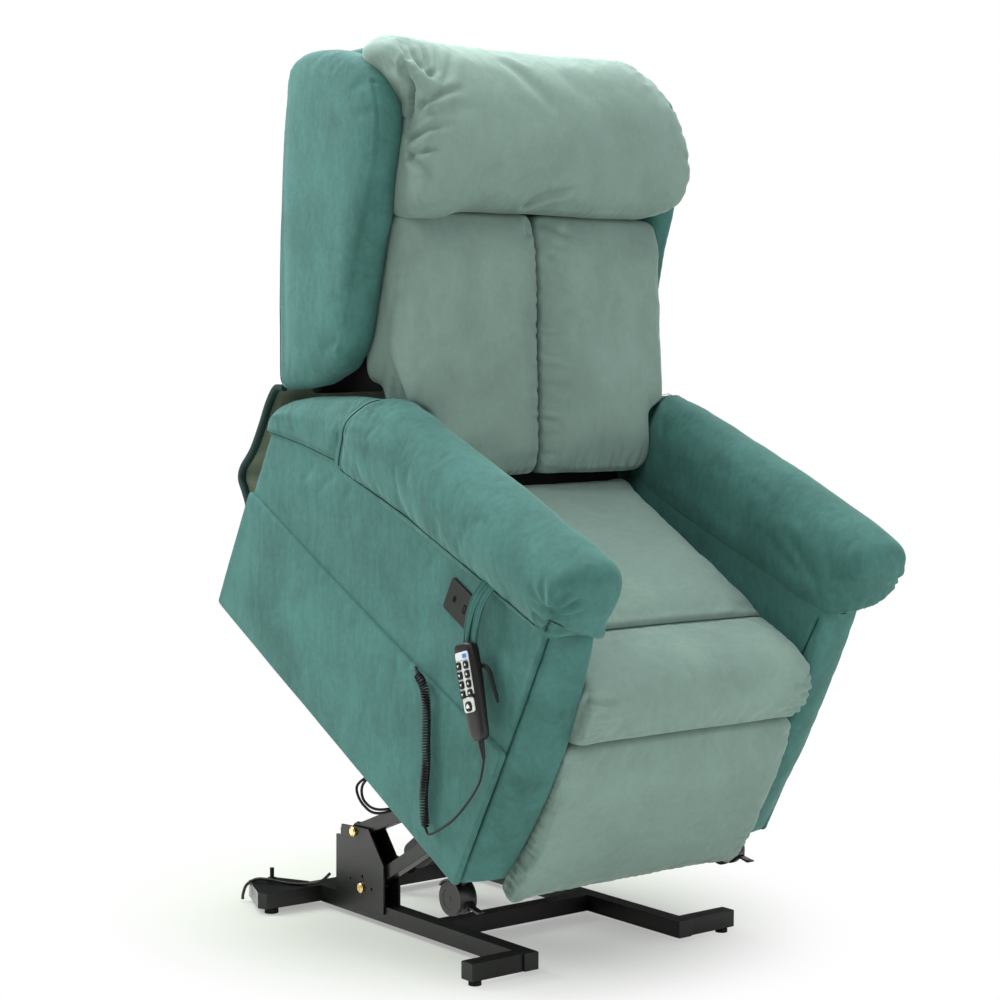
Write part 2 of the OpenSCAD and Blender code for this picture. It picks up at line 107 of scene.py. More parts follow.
# ------------------------------------------------------------------ mesh helpers
# a shape is a pair (vertices, faces)
def as_object(name, shape, smooth=True):
    vertices, faces = shape
    mesh = bpy.data.meshes.new(name)
    mesh.from_pydata([tuple(p) for p in np.asarray(vertices, float)], [], faces)
    mesh.update()
    obj = bpy.data.objects.new(name, mesh)
    scene.collection.objects.link(obj)
    if smooth:
        shade_smooth(mesh)
    return obj


def shade_smooth(mesh):
    mesh.polygons.foreach_set("use_smooth", np.ones(len(mesh.polygons), bool))


def read_vectors(obj, attribute):
    values = np.zeros(len(obj.data.vertices) * 3, np.float32)
    obj.data.vertices.foreach_get(attribute, values)
    return values.reshape(-1, 3).astype(float)


def coords(obj):
    return read_vectors(obj, "co")


def set_coords(obj, points):
    obj.data.vertices.foreach_set("co", points.astype(np.float32).ravel())
    obj.data.update()


def bake_modifiers(obj):
    depsgraph = bpy.context.evaluated_depsgraph_get()
    mesh = bpy.data.meshes.new_from_object(obj.evaluated_get(depsgraph))
    old = obj.data
    obj.modifiers.clear()
    obj.data = mesh
    bpy.data.meshes.remove(old)
    shade_smooth(mesh)


def relax(obj, passes):
    """Laplacian smoothing with a Taubin back step, so that the volume stays."""
    points = coords(obj)
    count = len(points)
    edges = np.zeros(len(obj.data.edges) * 2, np.int32)
    obj.data.edges.foreach_get("vertices", edges)
    a, b = edges.reshape(-1, 2).T
    degree = np.bincount(edges, minlength=count).astype(float)[:, None]
    for _ in range(passes):
        for weight in (0.5, -0.5 * 1.03):
            total = np.stack([np.bincount(a, points[b, i], count)
                              + np.bincount(b, points[a, i], count) for i in range(3)], 1)
            points = points + (total / degree - points) * weight
    set_coords(obj, points)


def remeshed(name, shape, voxel, passes):
    """Object with the shape in even quads, smoothed."""
    obj = as_object(name, shape)
    modifier = obj.modifiers.new("r", "REMESH")
    modifier.mode = "VOXEL"
    modifier.voxel_size = voxel
    modifier.use_smooth_shade = True
    bake_modifiers(obj)
    relax(obj, passes)
    return obj


def subdivide(obj):
    modifier = obj.modifiers.new("s", "SUBSURF")
    modifier.levels = modifier.render_levels = 1
    bake_modifiers(obj)


def unit(vectors):
    return vectors / (np.linalg.norm(vectors, axis=-1, keepdims=True) + 1e-12)


def tangents(line):
    return unit(np.gradient(line, axis=0))


def lengths(line):
    """Length along the line up to each point."""
    return np.r_[0, np.cumsum(np.linalg.norm(np.diff(line, axis=0), axis=1))]


def around(count):
    return np.linspace(0, 2 * math.pi, count, endpoint=False)


def signed_power(values, exponent):
    return np.sign(values) * np.abs(values) ** exponent


def spline(points, steps, closed=False):
    """Catmull-Rom curve through the points."""
    p = np.asarray(points, float)
    out = []
    count = len(p)
    for i in range(count if closed else count - 1):
        if closed:
            a, b, c, d = p[(i - 1) % count], p[i], p[(i + 1) % count], p[(i + 2) % count]
        else:
            a, b, c, d = p[max(i - 1, 0)], p[i], p[i + 1], p[min(i + 2, count - 1)]
        for t in np.linspace(0, 1, steps, endpoint=False):
            out.append(0.5 * (2 * b + (c - a) * t + (2 * a - 5 * b + 4 * c - d) * t * t
                              + (3 * b - a - 3 * c + d) * t**3))
    if not closed:
        out.append(p[-1])
    return np.array(out)


def resample(line, step=None, n=None, closed=False):
    """Evenly spaced points, by their spacing or by their number."""
    line = np.asarray(line, float)
    if closed:
        line = np.vstack([line, line[:1]])
    along = lengths(line)
    if n is None:
        n = max(2, int(round(along[-1] / step)) + 1)
    t = np.linspace(0, along[-1], n, endpoint=not closed)
    return np.stack([np.interp(t, along, line[:, i]) for i in range(line.shape[1])], 1)


def wall_faces(rings, n):
    return [(i * n + j, i * n + (j + 1) % n, (i + 1) * n + (j + 1) % n, (i + 1) * n + j)
            for i in range(rings - 1) for j in range(n)]


def ring_loft(rings):
    """Closed skin over rings of the same length, with both ends capped."""
    k, n = len(rings), len(rings[0])
    faces = wall_faces(k, n)
    faces += [((j + 1) % n, j, k * n) for j in range(n)]
    last = (k - 1) * n
    faces += [(last + j, last + (j + 1) % n, k * n + 1) for j in range(n)]
    return np.vstack(rings + [rings[0].mean(0)[None], rings[-1].mean(0)[None]]), faces


def strip_loft(rings):
    """Closed skin over rings that run along one face of a strip and back along the other."""
    k, n = len(rings), len(rings[0])
    faces = wall_faces(k, n)
    last = (k - 1) * n
    for j in range(n // 2 - 1):
        faces.append((j + 1, j, n - 1 - j, n - 2 - j))
        faces.append((last + j, last + j + 1, last + n - 2 - j, last + n - 1 - j))
    return np.vstack(rings), faces


def ring_at(x, outline):
    return np.column_stack([np.full(len(outline), x), outline])


def outline_normals(outline):
    """Outward normals of a closed (y, z) outline."""
    y, z = outline.T
    t = unit(np.roll(outline, -1, 0) - np.roll(outline, 1, 0))
    area = 0.5 * np.sum(y * np.roll(z, -1) - np.roll(y, -1) * z)
    return np.stack([t[:, 1], -t[:, 0]], 1) * (1 if area > 0 else -1)


def prism(outline, levels):
    """Closed skin along x over insets of an outline; levels are (x, inset)."""
    normals = outline_normals(outline)
    return ring_loft([ring_at(x, outline - normals * inset) for x, inset in levels])


def slab(points, x0, x1, r0, r1=None, passes=1, n=180, mid=9):
    """Skin of a (y, z) outline along x, with its ends rounded by r0 and r1."""
    r1 = r0 if r1 is None else r1
    outline = resample(points, n=n, closed=True)
    for _ in range(passes):
        outline = 0.25 * np.roll(outline, 1, 0) + 0.5 * outline + 0.25 * np.roll(outline, -1, 0)
    levels = [(x0 + r0 * (1 - math.sin(a)), r0 * (1 - math.cos(a)))
              for a in np.linspace(math.pi / 2, 0, 8)]
    levels += [(x, 0) for x in np.linspace(x0 + r0, x1 - r1, mid)[1:-1]]
    levels += [(x1 - r1 * (1 - math.sin(a)), r1 * (1 - math.cos(a)))
               for a in np.linspace(0, math.pi / 2, 8)]
    return prism(outline, levels)


def rounded_rect(width, height, radius, y=0.0, z=0.0, n=8):
    """(y, z) outline of a rectangle with n points to each corner."""
    out = []
    for sy, sz, start in ((1, 1, 0), (-1, 1, 90), (-1, -1, 180), (1, -1, 270)):
        for degrees in np.linspace(start, start + 90, n):
            a = math.radians(degrees)
            out.append((y + sy * (width / 2 - radius) + radius * math.cos(a),
                        z + sz * (height / 2 - radius) + radius * math.sin(a)))
    return np.array(out)


def tube(line, radius, n):
    """Tube along a line; radius is one number or one per point."""
    p = np.asarray(line, float)
    radius = np.full(len(p), radius) if np.isscalar(radius) else np.asarray(radius, float)
    t = tangents(p)
    up = np.array([0.0, 0, 1]) if abs(t[0][2]) < 0.9 else np.array([1.0, 0, 0])
    u = unit(np.cross(t[0], up))
    a = around(n)
    rings = []
    for i in range(len(p)):
        u = unit(u - t[i] * (u @ t[i]))
        w = np.cross(t[i], u)
        rings.append(p[i] + radius[i] * (np.cos(a)[:, None] * u + np.sin(a)[:, None] * w))
    return ring_loft(rings)


def merge(shapes):
    vertices, faces, count = [], [], 0
    for points, polygons in shapes:
        vertices.append(np.asarray(points, float))
        faces += [tuple(i + count for i in face) for face in polygons]
        count += len(points)
    return np.vstack(vertices), faces


def mirrored(shape):
    vertices, faces = shape
    return np.asarray(vertices) * [-1, 1, 1], [tuple(reversed(face)) for face in faces]


def smooth01(t):
    t = np.clip(t, 0, 1)
    return t * t * (3 - 2 * t)


def ramp(x, a, b):
    """Smooth step from 0 at a to 1 at b."""
    return smooth01((x - a) / (b - a))


def quarter(distance, run):
    """Quarter-circle profile: 0 at an end, 1 from run inwards."""
    return math.sqrt(max(0.0, 1 - (max(0.0, run - distance) / run) ** 2))


def jitter(reach):
    return rand(-reach, reach)


def scattered(start, length, count, spread=(0.2, 0.8)):
    """One random place in each of count equal cells."""
    for k in range(count):
        yield start + length * (k + rand(*spread)) / count


# ------------------------------------------------------------------ surface features
class Skin:
    """A mesh in its own frame; displacements gather in disp until they are applied."""

    def __init__(self, obj):
        self.obj = obj
        self.co = coords(obj)
        self.normals = read_vectors(obj, "normal")
        self.disp = np.zeros(len(self.co))
        self.bvh = BVHTree.FromPolygons([tuple(p) for p in self.co],
                                        [tuple(face.vertices) for face in obj.data.polygons])

    def snap(self, line, step=0.004):
        """The line laid on the mesh, with the normals there."""
        found = [self.bvh.find_nearest(Vector(p))[:2]
                 for p in resample(spline(line, 10), step=step)]
        path = np.array([tuple(place) for place, _ in found])
        normals = np.array([tuple(normal) for _, normal in found])
        for _ in range(2):
            path[1:-1] = 0.25 * path[:-2] + 0.5 * path[1:-1] + 0.25 * path[2:]
        return path, normals

    def near(self, path, reach):
        """Vertices near the path, their distances and their places along it from 0 to 1."""
        low, high = path.min(0) - reach, path.max(0) + reach
        index = np.where(((self.co >= low) & (self.co <= high)).all(1))[0]
        best = np.full(len(index), 1e9)
        nearest = np.zeros(len(index), int)
        points = self.co[index]
        for s in range(0, len(index), 4000):  # in blocks, to save memory
            d = np.linalg.norm(points[s : s + 4000, None] - path[None], axis=2)
            nearest[s : s + 4000] = d.argmin(1)
            best[s : s + 4000] = d.min(1)
        keep = best < reach
        return index[keep], best[keep], nearest[keep] / max(1, len(path) - 1)

    def groove(self, line, depth, width, ridge=0.0, fade=(0.0, 0.0)):
        """Groove with raised flanks; fade is the share of its length at each end.

        A negative depth raises the line. The path on the mesh is returned.
        """
        path, _ = self.snap(line)
        index, d, t = self.near(path, width * 5)
        strength = np.ones(len(t))
        if fade[0]:
            strength *= smooth01(t / fade[0])
        if fade[1]:
            strength *= smooth01((1 - t) / fade[1])
        self.disp[index] += strength * (
            -depth * np.exp(-((d / width) ** 2))
            + ridge * np.exp(-(((d - 2.3 * width) / (1.2 * width)) ** 2)))
        return path

    def ripple(self, scale, seed, height, side=1):
        """Fractal noise over the whole surface."""
        shift = Vector((seed * 7.31, seed * 3.17, seed * 5.73))
        self.disp += height * np.array([noise.fractal(Vector(p) * scale + shift, 1.0, 2.0, 2)
                                        for p in self.co * [side, 1, 1]])

    def apply(self, deepest=0.0085, tallest=0.0060):
        """Moves the vertices along their normals, softly limited both ways."""
        self.disp = np.where(self.disp < 0, -deepest * np.tanh(-self.disp / deepest),
                             tallest * np.tanh(self.disp / tallest))
        self.co = self.co + self.normals * self.disp[:, None]
        set_coords(self.obj, self.co)
        self.normals = read_vectors(self.obj, "normal")
        self.disp[:] = 0

    def retrace(self, seam, knots, step=0.003):
        """The path of a groove again, through about as many points as knots."""
        return self.snap(seam[:: max(1, len(seam) // knots)], step)

    def thread(self, seam, knots, sink, radius, step=0.003):
        path, normals = self.retrace(seam, knots, step)
        return tube(path - normals * sink, radius, 6)


def to_side(side, skin, shapes=()):
    """Paired pieces are made on the left; those of the right side are mirrored."""
    if side > 0:
        return shapes
    skin.co[:, 0] *= -1
    set_coords(skin.obj, skin.co)
    skin.obj.data.flip_normals()
    return [mirrored(shape) for shape in shapes]


STITCH = 0.0034  # length, gap and thread radius
STITCH_GAP = 0.0022
STITCH_R = 0.00045


def stitches(path, normals, offset):
    """Short stitches along a path on the mesh, shifted sideways by offset."""
    sideways = np.cross(tangents(path), normals)
    line = path + sideways * offset + normals * 0.0004
    along = lengths(line)

    def at(place, values):
        return np.array([np.interp(place, along, values[:, i]) for i in range(3)])

    shapes, s = [], 0.002
    while s + STITCH < along[-1] - 0.002:
        a, b, up = at(s, line), at(s + STITCH, line), at(s, normals)
        middle = (a + b) / 2 + up * 0.0003
        shapes.append(tube([a - up * 0.0006, middle, b - up * 0.0006],
                           [STITCH_R * 0.5, STITCH_R, STITCH_R * 0.5], 5))
        s += STITCH + STITCH_GAP
    return merge(shapes)


# ------------------------------------------------------------------ shader helpers
def node(tree, kind, values=None, **properties):
    new = tree.nodes.new(kind)
    for key, value in properties.items():
        setattr(new, key, value)
    for key, value in (values or {}).items():
        new.inputs[key].default_value = value
    return new


def new_material(name):
    material = bpy.data.materials.new(name)
    material.use_nodes = True
    tree = material.node_tree
    return material, tree, tree.nodes["Principled BSDF"]


def noise_node(tree, scale, detail=2.0, rough=0.5, distortion=0.0, stretch=None, turn=None):
    vector = node(tree, "ShaderNodeTexCoord").outputs["Object"]
    if stretch or turn:
        mapping = node(tree, "ShaderNodeMapping")
        if stretch:
            mapping.inputs["Scale"].default_value = stretch
        if turn:
            mapping.inputs["Rotation"].default_value = turn
        tree.links.new(vector, mapping.inputs["Vector"])
        vector = mapping.outputs[0]
    texture = node(tree, "ShaderNodeTexNoise", {
        "Scale": scale, "Detail": detail, "Roughness": rough, "Distortion": distortion})
    tree.links.new(vector, texture.inputs["Vector"])
    return texture.outputs["Fac"]


def color_by(tree, shader, factor, stops):
    """Base colour from a factor; stops are (position, colour)."""
    color_ramp = node(tree, "ShaderNodeValToRGB")
    elements = color_ramp.color_ramp.elements
    for element, (position, color) in ((elements[0], stops[0]), (elements[1], stops[-1])):
        element.position = position
        element.color = (*color, 1)
    for position, color in stops[1:-1]:
        elements.new(position).color = (*color, 1)
    tree.links.new(factor, color_ramp.inputs[0])
    tree.links.new(color_ramp.outputs[0], shader.inputs["Base Color"])


def roughness_by(tree, shader, factor, low, high):
    mapped = node(tree, "ShaderNodeMapRange", {"To Min": low, "To Max": high})
    tree.links.new(factor, mapped.inputs["Value"])
    tree.links.new(mapped.outputs[0], shader.inputs["Roughness"])


def weighted_sum(tree, terms):
    """Sum of (factor, weight) pairs."""
    total = None
    for factor, weight in terms:
        part = node(tree, "ShaderNodeMath", {1: weight}, operation="MULTIPLY")
        tree.links.new(factor, part.inputs[0])
        if total is not None:
            added = node(tree, "ShaderNodeMath", operation="ADD")
            tree.links.new(total, added.inputs[0])
            tree.links.new(part.outputs[0], added.inputs[1])
            part = added
        total = part.outputs[0]
    return total


def bumps(tree, shader, layers):
    """Chained bumps; layers are (height factor, strength, distance)."""
    previous = None
    for factor, strength, distance in layers:
        bump = node(tree, "ShaderNodeBump", {"Strength": strength, "Distance": distance})
        tree.links.new(factor, bump.inputs["Height"])
        if previous is not None:
            tree.links.new(previous, bump.inputs["Normal"])
        previous = bump.outputs[0]
    tree.links.new(previous, shader.inputs["Normal"])


def mix_shaders(tree, factor, first, second):
    mix = node(tree, "ShaderNodeMixShader")
    for i, output in enumerate((factor, first, second)):
        tree.links.new(output, mix.inputs[i])
    return mix.outputs[0]


# ------------------------------------------------------------------ materials
def velvet(name, color, sheen_tint, sheen, turn, spread):
    """Brushed pile; spread is the contrast of its shading, turn rotates the pattern."""
    color = np.array(color)
    material, tree, shader = new_material(name)
    big = noise_node(tree, 6.5, detail=3.0, rough=0.55, distortion=0.6,
                     turn=(0.3 + turn, 0.2, turn))
    brush = noise_node(tree, 22.0, detail=3.0, rough=0.6, distortion=0.8,
                       stretch=(1.0, 2.4, 0.7), turn=(0.5, 0.1, 0.4 + turn))
    small = noise_node(tree, 95.0, rough=0.6, distortion=0.3)
    shade = weighted_sum(tree, [(big, 0.46), (brush, 0.34), (small, 0.20)])
    color_by(tree, shader, shade, [(0.34, tuple(color * (1 - spread))), (0.50, tuple(color)),
                                   (0.66, tuple(color * (1 + spread)))])
    roughness_by(tree, shader, brush, low=0.72, high=0.94)
    shader.inputs["Specular IOR Level"].default_value = 0.15
    shader.inputs["Sheen Weight"].default_value = sheen
    shader.inputs["Sheen Roughness"].default_value = 0.38
    shader.inputs["Sheen Tint"].default_value = (*sheen_tint, 1)
    pile = noise_node(tree, 1500.0, rough=0.7)
    weave = noise_node(tree, 420.0, rough=0.6, stretch=(1.0, 1.0, 0.55))
    bumps(tree, shader, [(pile, 0.22, 0.0005), (weave, 0.16, 0.0006), (small, 0.12, 0.0016)])
    return material


def plain(name, color, rough, metal=0.0, var=0.12, grain=900.0, strength=0.12, dist=0.0002,
          scratch=False, spec=0.5):
    """Even material; var varies the colour, grain, strength and dist set its fine bumps."""
    material, tree, shader = new_material(name)
    color = np.array(color)
    patches = noise_node(tree, 14.0, detail=3.0, rough=0.6)
    color_by(tree, shader, patches, [(0.3, tuple(color * (1 - var))),
                                     (0.7, tuple(np.minimum(color * (1 + var), 1.0)))])
    wear = noise_node(tree, 30.0 if scratch else 60.0, detail=4.0, rough=0.6,
                      stretch=(1, 14, 1) if scratch else None)
    roughness_by(tree, shader, wear, low=max(rough - 0.08, 0.03), high=min(rough + 0.1, 1))
    shader.inputs["Metallic"].default_value = metal
    shader.inputs["Specular IOR Level"].default_value = spec
    bumps(tree, shader, [(noise_node(tree, grain), strength, dist)])
    return material


def wood(name, dark, light):
    """Wood with its grain along x."""
    material, tree, shader = new_material(name)
    scale, stretch = 9.0, (1.0, 12.0, 12.0)
    coarse = noise_node(tree, scale, detail=5.0, rough=0.6, distortion=0.9, stretch=stretch)
    fine = noise_node(tree, scale * 9, detail=3.0, rough=0.6, distortion=0.2, stretch=stretch)
    grain = weighted_sum(tree, [(coarse, 0.7), (fine, 0.3)])
    color_by(tree, shader, grain, [(0.35, dark), (0.65, light)])
    shader.inputs["Roughness"].default_value = 0.62
    bumps(tree, shader, [(fine, 0.25, 0.0004)])
    return material


TEAL = velvet("teal_velvet_pile", (0.032, 0.0955, 0.085), sheen_tint=(0.55, 0.85, 0.80),
              sheen=0.13, turn=0.0, spread=0.30)
SAGE = velvet("sage_velvet_pile", (0.122, 0.180, 0.157), sheen_tint=(0.80, 0.92, 0.88),
              sheen=0.14, turn=1.3, spread=0.14)
THREAD = plain("seam_thread", (0.008, 0.028, 0.025), rough=0.9, var=0.2, grain=2500,
               strength=0.3, spec=0.05)
STITCHING = plain("stitch_thread", (0.022, 0.070, 0.062), rough=0.8, var=0.15, grain=2500,
                  strength=0.3, spec=0.08)
SAGE_THREAD = plain("seam_thread_sage", (0.030, 0.050, 0.044), rough=0.9, var=0.2,
                    grain=2500, strength=0.3, spec=0.05)
LINER = plain("cream_liner", (0.235, 0.280, 0.205), rough=0.95, var=0.18, grain=700,
              strength=0.5, dist=0.0005, spec=0.1)
# black non-woven cloth on the rear of the leg rest; the same black paints shade on the sheets that
# fill the dark gaps
BLACK_CLOTH_AND_SHADE = plain("black_nonwoven", (0.006, 0.006, 0.0065), rough=0.95, var=0.3, grain=500,
                    strength=0.6, dist=0.0006, spec=0.1)
# the flap's hem edges: the teal velvet painted about four times darker, as shade on those edges
SHADED_HEM = velvet("teal_velvet_hem", (0.0075, 0.023, 0.020), sheen_tint=(0.55, 0.85, 0.78),
             sheen=0.05, turn=4.0, spread=0.20)
STAINED = wood("stained_frame", dark=(0.012, 0.009, 0.006), light=(0.024, 0.017, 0.011))
STEEL = plain("black_powder_coat", (0.0042, 0.005, 0.0042), rough=0.34, var=0.25, grain=1600,
              strength=0.18, spec=0.22)
CAP = plain("black_cap_plastic", (0.006, 0.0065, 0.006), rough=0.45, var=0.2, grain=1200,
            strength=0.25, spec=0.22)
FOOT = plain("foot_rubber", (0.007, 0.0072, 0.007), rough=0.8, var=0.3, grain=700,
             strength=0.35, spec=0.15)
BRASS = plain("pivot_brass_metal", (0.66, 0.47, 0.20), rough=0.30, metal=1.0, scratch=True)
CHROME = plain("polished_rod", (0.60, 0.61, 0.62), rough=0.16, metal=1.0, var=0.06,
               scratch=True, strength=0.05)
LINK = plain("link_black", (0.008, 0.0085, 0.0085), rough=0.42, var=0.2, spec=0.2)
RUBBER = plain("cable_rubber_black", (0.0045, 0.0048, 0.0045), rough=0.45, var=0.25,
               grain=1800, strength=0.2, spec=0.2)
MOTOR = plain("motor_case_grain", (0.0055, 0.006, 0.006), rough=0.5, var=0.15, grain=1500,
              strength=0.35, spec=0.2)
CASE = plain("handset_case", (0.0062, 0.0064, 0.0062), rough=0.42, grain=2600,
             strength=0.25, spec=0.22)
KEY = plain("key_rubber", (0.0045, 0.0045, 0.0048), rough=0.55, var=0.1, grain=2600,
            strength=0.2, spec=0.15)
WHITE = plain("keypad_white", (0.40, 0.42, 0.40), rough=0.5, var=0.05, grain=2200, strength=0.1)
GLYPH = plain("key_glyph_white", (0.42, 0.43, 0.42), rough=0.4, var=0.04, grain=2200,
              strength=0.1)
BLUE = plain("keypad_blue", (0.02, 0.10, 0.40), rough=0.3, var=0.1, grain=2200, strength=0.1)
# near-black colour paints the shade inside the port openings, which are flat patches and not
# recesses
PORT = plain("port_black", (0.0012, 0.0012, 0.0012), rough=0.6, var=0.1, grain=2600,
             strength=0.1, spec=0.05)
SOCKET = plain("socket_grain", (0.0125, 0.0145, 0.0125), rough=0.6, var=0.15, grain=1800,
               strength=0.35, spec=0.15)
CASTOR = plain("castor_plastic_black", (0.005, 0.0052, 0.005), rough=0.36, var=0.2,
               grain=1400, strength=0.2, spec=0.22)
WHEEL = plain("wheel_tread", (0.010, 0.0105, 0.010), rough=0.45, var=0.25, strength=0.25,
              spec=0.2)
PLY = wood("birch_ply", dark=(0.36, 0.24, 0.13), light=(0.55, 0.40, 0.24))


def place(obj, materials, body, slot, matrix=WORLD, replaces=None):
    """Moves a piece from its own frame to the world and ties it to its body."""
    set_coords(obj, moved(coords(obj), matrix))
    obj.data.materials.clear()
    for material in materials if isinstance(materials, list) else [materials]:
        obj.data.materials.append(material)
    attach(obj, body)
    if replaces:
        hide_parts(replaces)


def place_threads(name, shapes, material, body, slot, matrix):
    place(as_object(name, merge(shapes)), material, body, slot, matrix)


def puff(obj, pin, pressure, frames, reach, shrink=0.0, bend=0.6):
    """Short cloth simulation with air pressure; no vertex moves by more than reach."""
    start = coords(obj)
    group = obj.vertex_groups.new(name="pin")
    group.add([int(i) for i in np.where(pin)[0]], 1.0, "REPLACE")
    modifier = obj.modifiers.new("c", "CLOTH")
    cloth = modifier.settings
    cloth.quality = 4
    cloth.mass = 0.3
    cloth.air_damping = 1.0
    cloth.tension_stiffness = cloth.compression_stiffness = 15.0
    cloth.shear_stiffness = 5
    cloth.bending_stiffness = bend
    cloth.use_pressure = True
    cloth.uniform_pressure_force = pressure
    cloth.shrink_min = shrink
    cloth.effector_weights.gravity = 0
    cloth.vertex_group_mass = "pin"
    modifier.point_cache.frame_start = 1
    modifier.point_cache.frame_end = frames
    for number in range(1, frames + 1):
        scene.frame_set(number)
    bake_modifiers(obj)
    scene.frame_set(1)
    move = coords(obj) - start
    distance = np.linalg.norm(move, axis=1)
    bad = ~np.isfinite(distance)  # vertices that the solver lost stay where they were
    move[bad] = 0
    distance[bad] = 0
    limited = reach * np.tanh(distance / reach) / np.maximum(distance, 1e-9)
    set_coords(obj, start + move * limited[:, None])
    obj.vertex_groups.clear()


# ------------------------------------------------------------------ seat cushion
SEAT_X = 0.249  # half width
SEAT_SEAM_Y = 0.108
SEAT_OUTLINE = [  # y, z
    (-0.022, 0.2885), (-0.045, 0.300), (-0.054, 0.330), (-0.054, 0.352), (-0.050, 0.378),
    (-0.030, 0.400), (0.010, 0.410), (0.070, 0.412), (0.108, 0.406), (0.150, 0.418),
    (0.250, 0.427), (0.360, 0.431), (0.470, 0.433), (0.528, 0.434), (0.547, 0.424),
    (0.548, 0.320), (0.530, 0.296), (0.250, 0.2865), (0.06, 0.2865)]


def make_seat():
    obj = remeshed("seat_cushion_skin",
                   slab(SEAT_OUTLINE, -SEAT_X, SEAT_X, 0.014, 0.022, passes=4, n=220), VOXEL, 6)
    _, y, z = coords(obj).T
    puff(obj, (np.abs(y - SEAT_SEAM_Y) < 0.006) | (z < 0.305), pressure=3.5, frames=12,
         reach=0.008, shrink=-0.012)
    subdivide(obj)
    skin = Skin(obj)
    x, y, z = skin.co.T
    top = ramp(skin.normals[:, 2], 0.4, 0.8)
    skin.disp += (top * 0.006 * (1 - (x / 0.247) ** 2) * ramp(y, 0.11, 0.18)
                  * ramp(-y, -0.52, -0.42))
    skin.ripple(9, seed=2.0, height=0.0014)
    skin.apply()
    seam = skin.groove([(-0.245, 0.108, 0.40), (-0.15, 0.109, 0.41), (0, 0.110, 0.411),
                        (0.15, 0.109, 0.41), (0.245, 0.108, 0.40)],
                       depth=0.0085, width=0.0055, ridge=0.002)
    # short creases off the cross seam, by turns to the rear and to the front
    for k, x in enumerate(scattered(-0.23, 0.46, 26)):
        way = 1 if k % 2 else -1
        length = rand(0.018, 0.045)
        skin.groove([(x, SEAT_SEAM_Y + way * 0.003, 0.411),
                     (x + jitter(0.008), SEAT_SEAM_Y + way * length, 0.416 if way > 0 else 0.410)],
                    depth=rand(0.0006, 0.0014), width=0.0040, fade=(0, 0.8))
    # gathers at both ends of the nose
    for way in (-1, 1):
        for k in range(9):
            z = 0.312 + 0.0095 * k + jitter(0.002)
            skin.groove([(way * 0.2465, -0.030, z), (way * 0.226, -0.046, z + jitter(0.004)),
                         (way * rand(0.172, 0.200), -0.052, z + jitter(0.006))],
                        depth=rand(0.0040, 0.0075), width=0.0042, ridge=0.0016, fade=(0, 0.6))
    skin.apply()
    thread = skin.thread(seam, knots=14, sink=0.0012, radius=0.0012)
    place(obj, SAGE, "chair", "sage_velvet", CHAIR, "seat_cushion")
    place_threads("seat_cross_seam", [thread], SAGE_THREAD, "chair", "sage_velvet", CHAIR)


# ------------------------------------------------------------------ back cushions
CUSHION_INNER_X = 0.0010
CUSHION_OUTER_X = 0.2868
CUSHION_FOOT = 0.882  # width of the foot as a share of the width above
CUSHION_OUTLINE = [  # y, z
    (-0.012, -0.003), (-0.031, 0.007), (-0.040, 0.040), (-0.043, 0.160), (-0.043, 0.300),
    (-0.036, 0.400), (-0.018, 0.452), (0.030, 0.458), (0.100, 0.452), (0.114, 0.430),
    (0.116, 0.300), (0.116, 0.175), (0.100, 0.158), (0.066, 0.150), (0.057, 0.120),
    (0.056, 0.026), (0.040, 0.001)]
# long pull lines from the top of the centre seam: three points, depth
CUSHION_PULLS = {
    1: [((0.006, -0.046, 0.450), (0.035, -0.05, 0.435), (0.085, -0.052, 0.418), 0.0038),
        ((0.004, -0.046, 0.420), (0.030, -0.05, 0.405), (0.062, -0.052, 0.396), 0.0030),
        ((0.004, -0.046, 0.375), (0.018, -0.05, 0.366), (0.036, -0.05, 0.360), 0.0022)],
    -1: [((0.006, -0.046, 0.446), (0.025, -0.05, 0.425), (0.05, -0.052, 0.412), 0.0025)]}
CUSHION_PULL_FORM = {1: dict(width=0.0075, ridge=0.0012), -1: dict(width=0.007, ridge=0.001)}


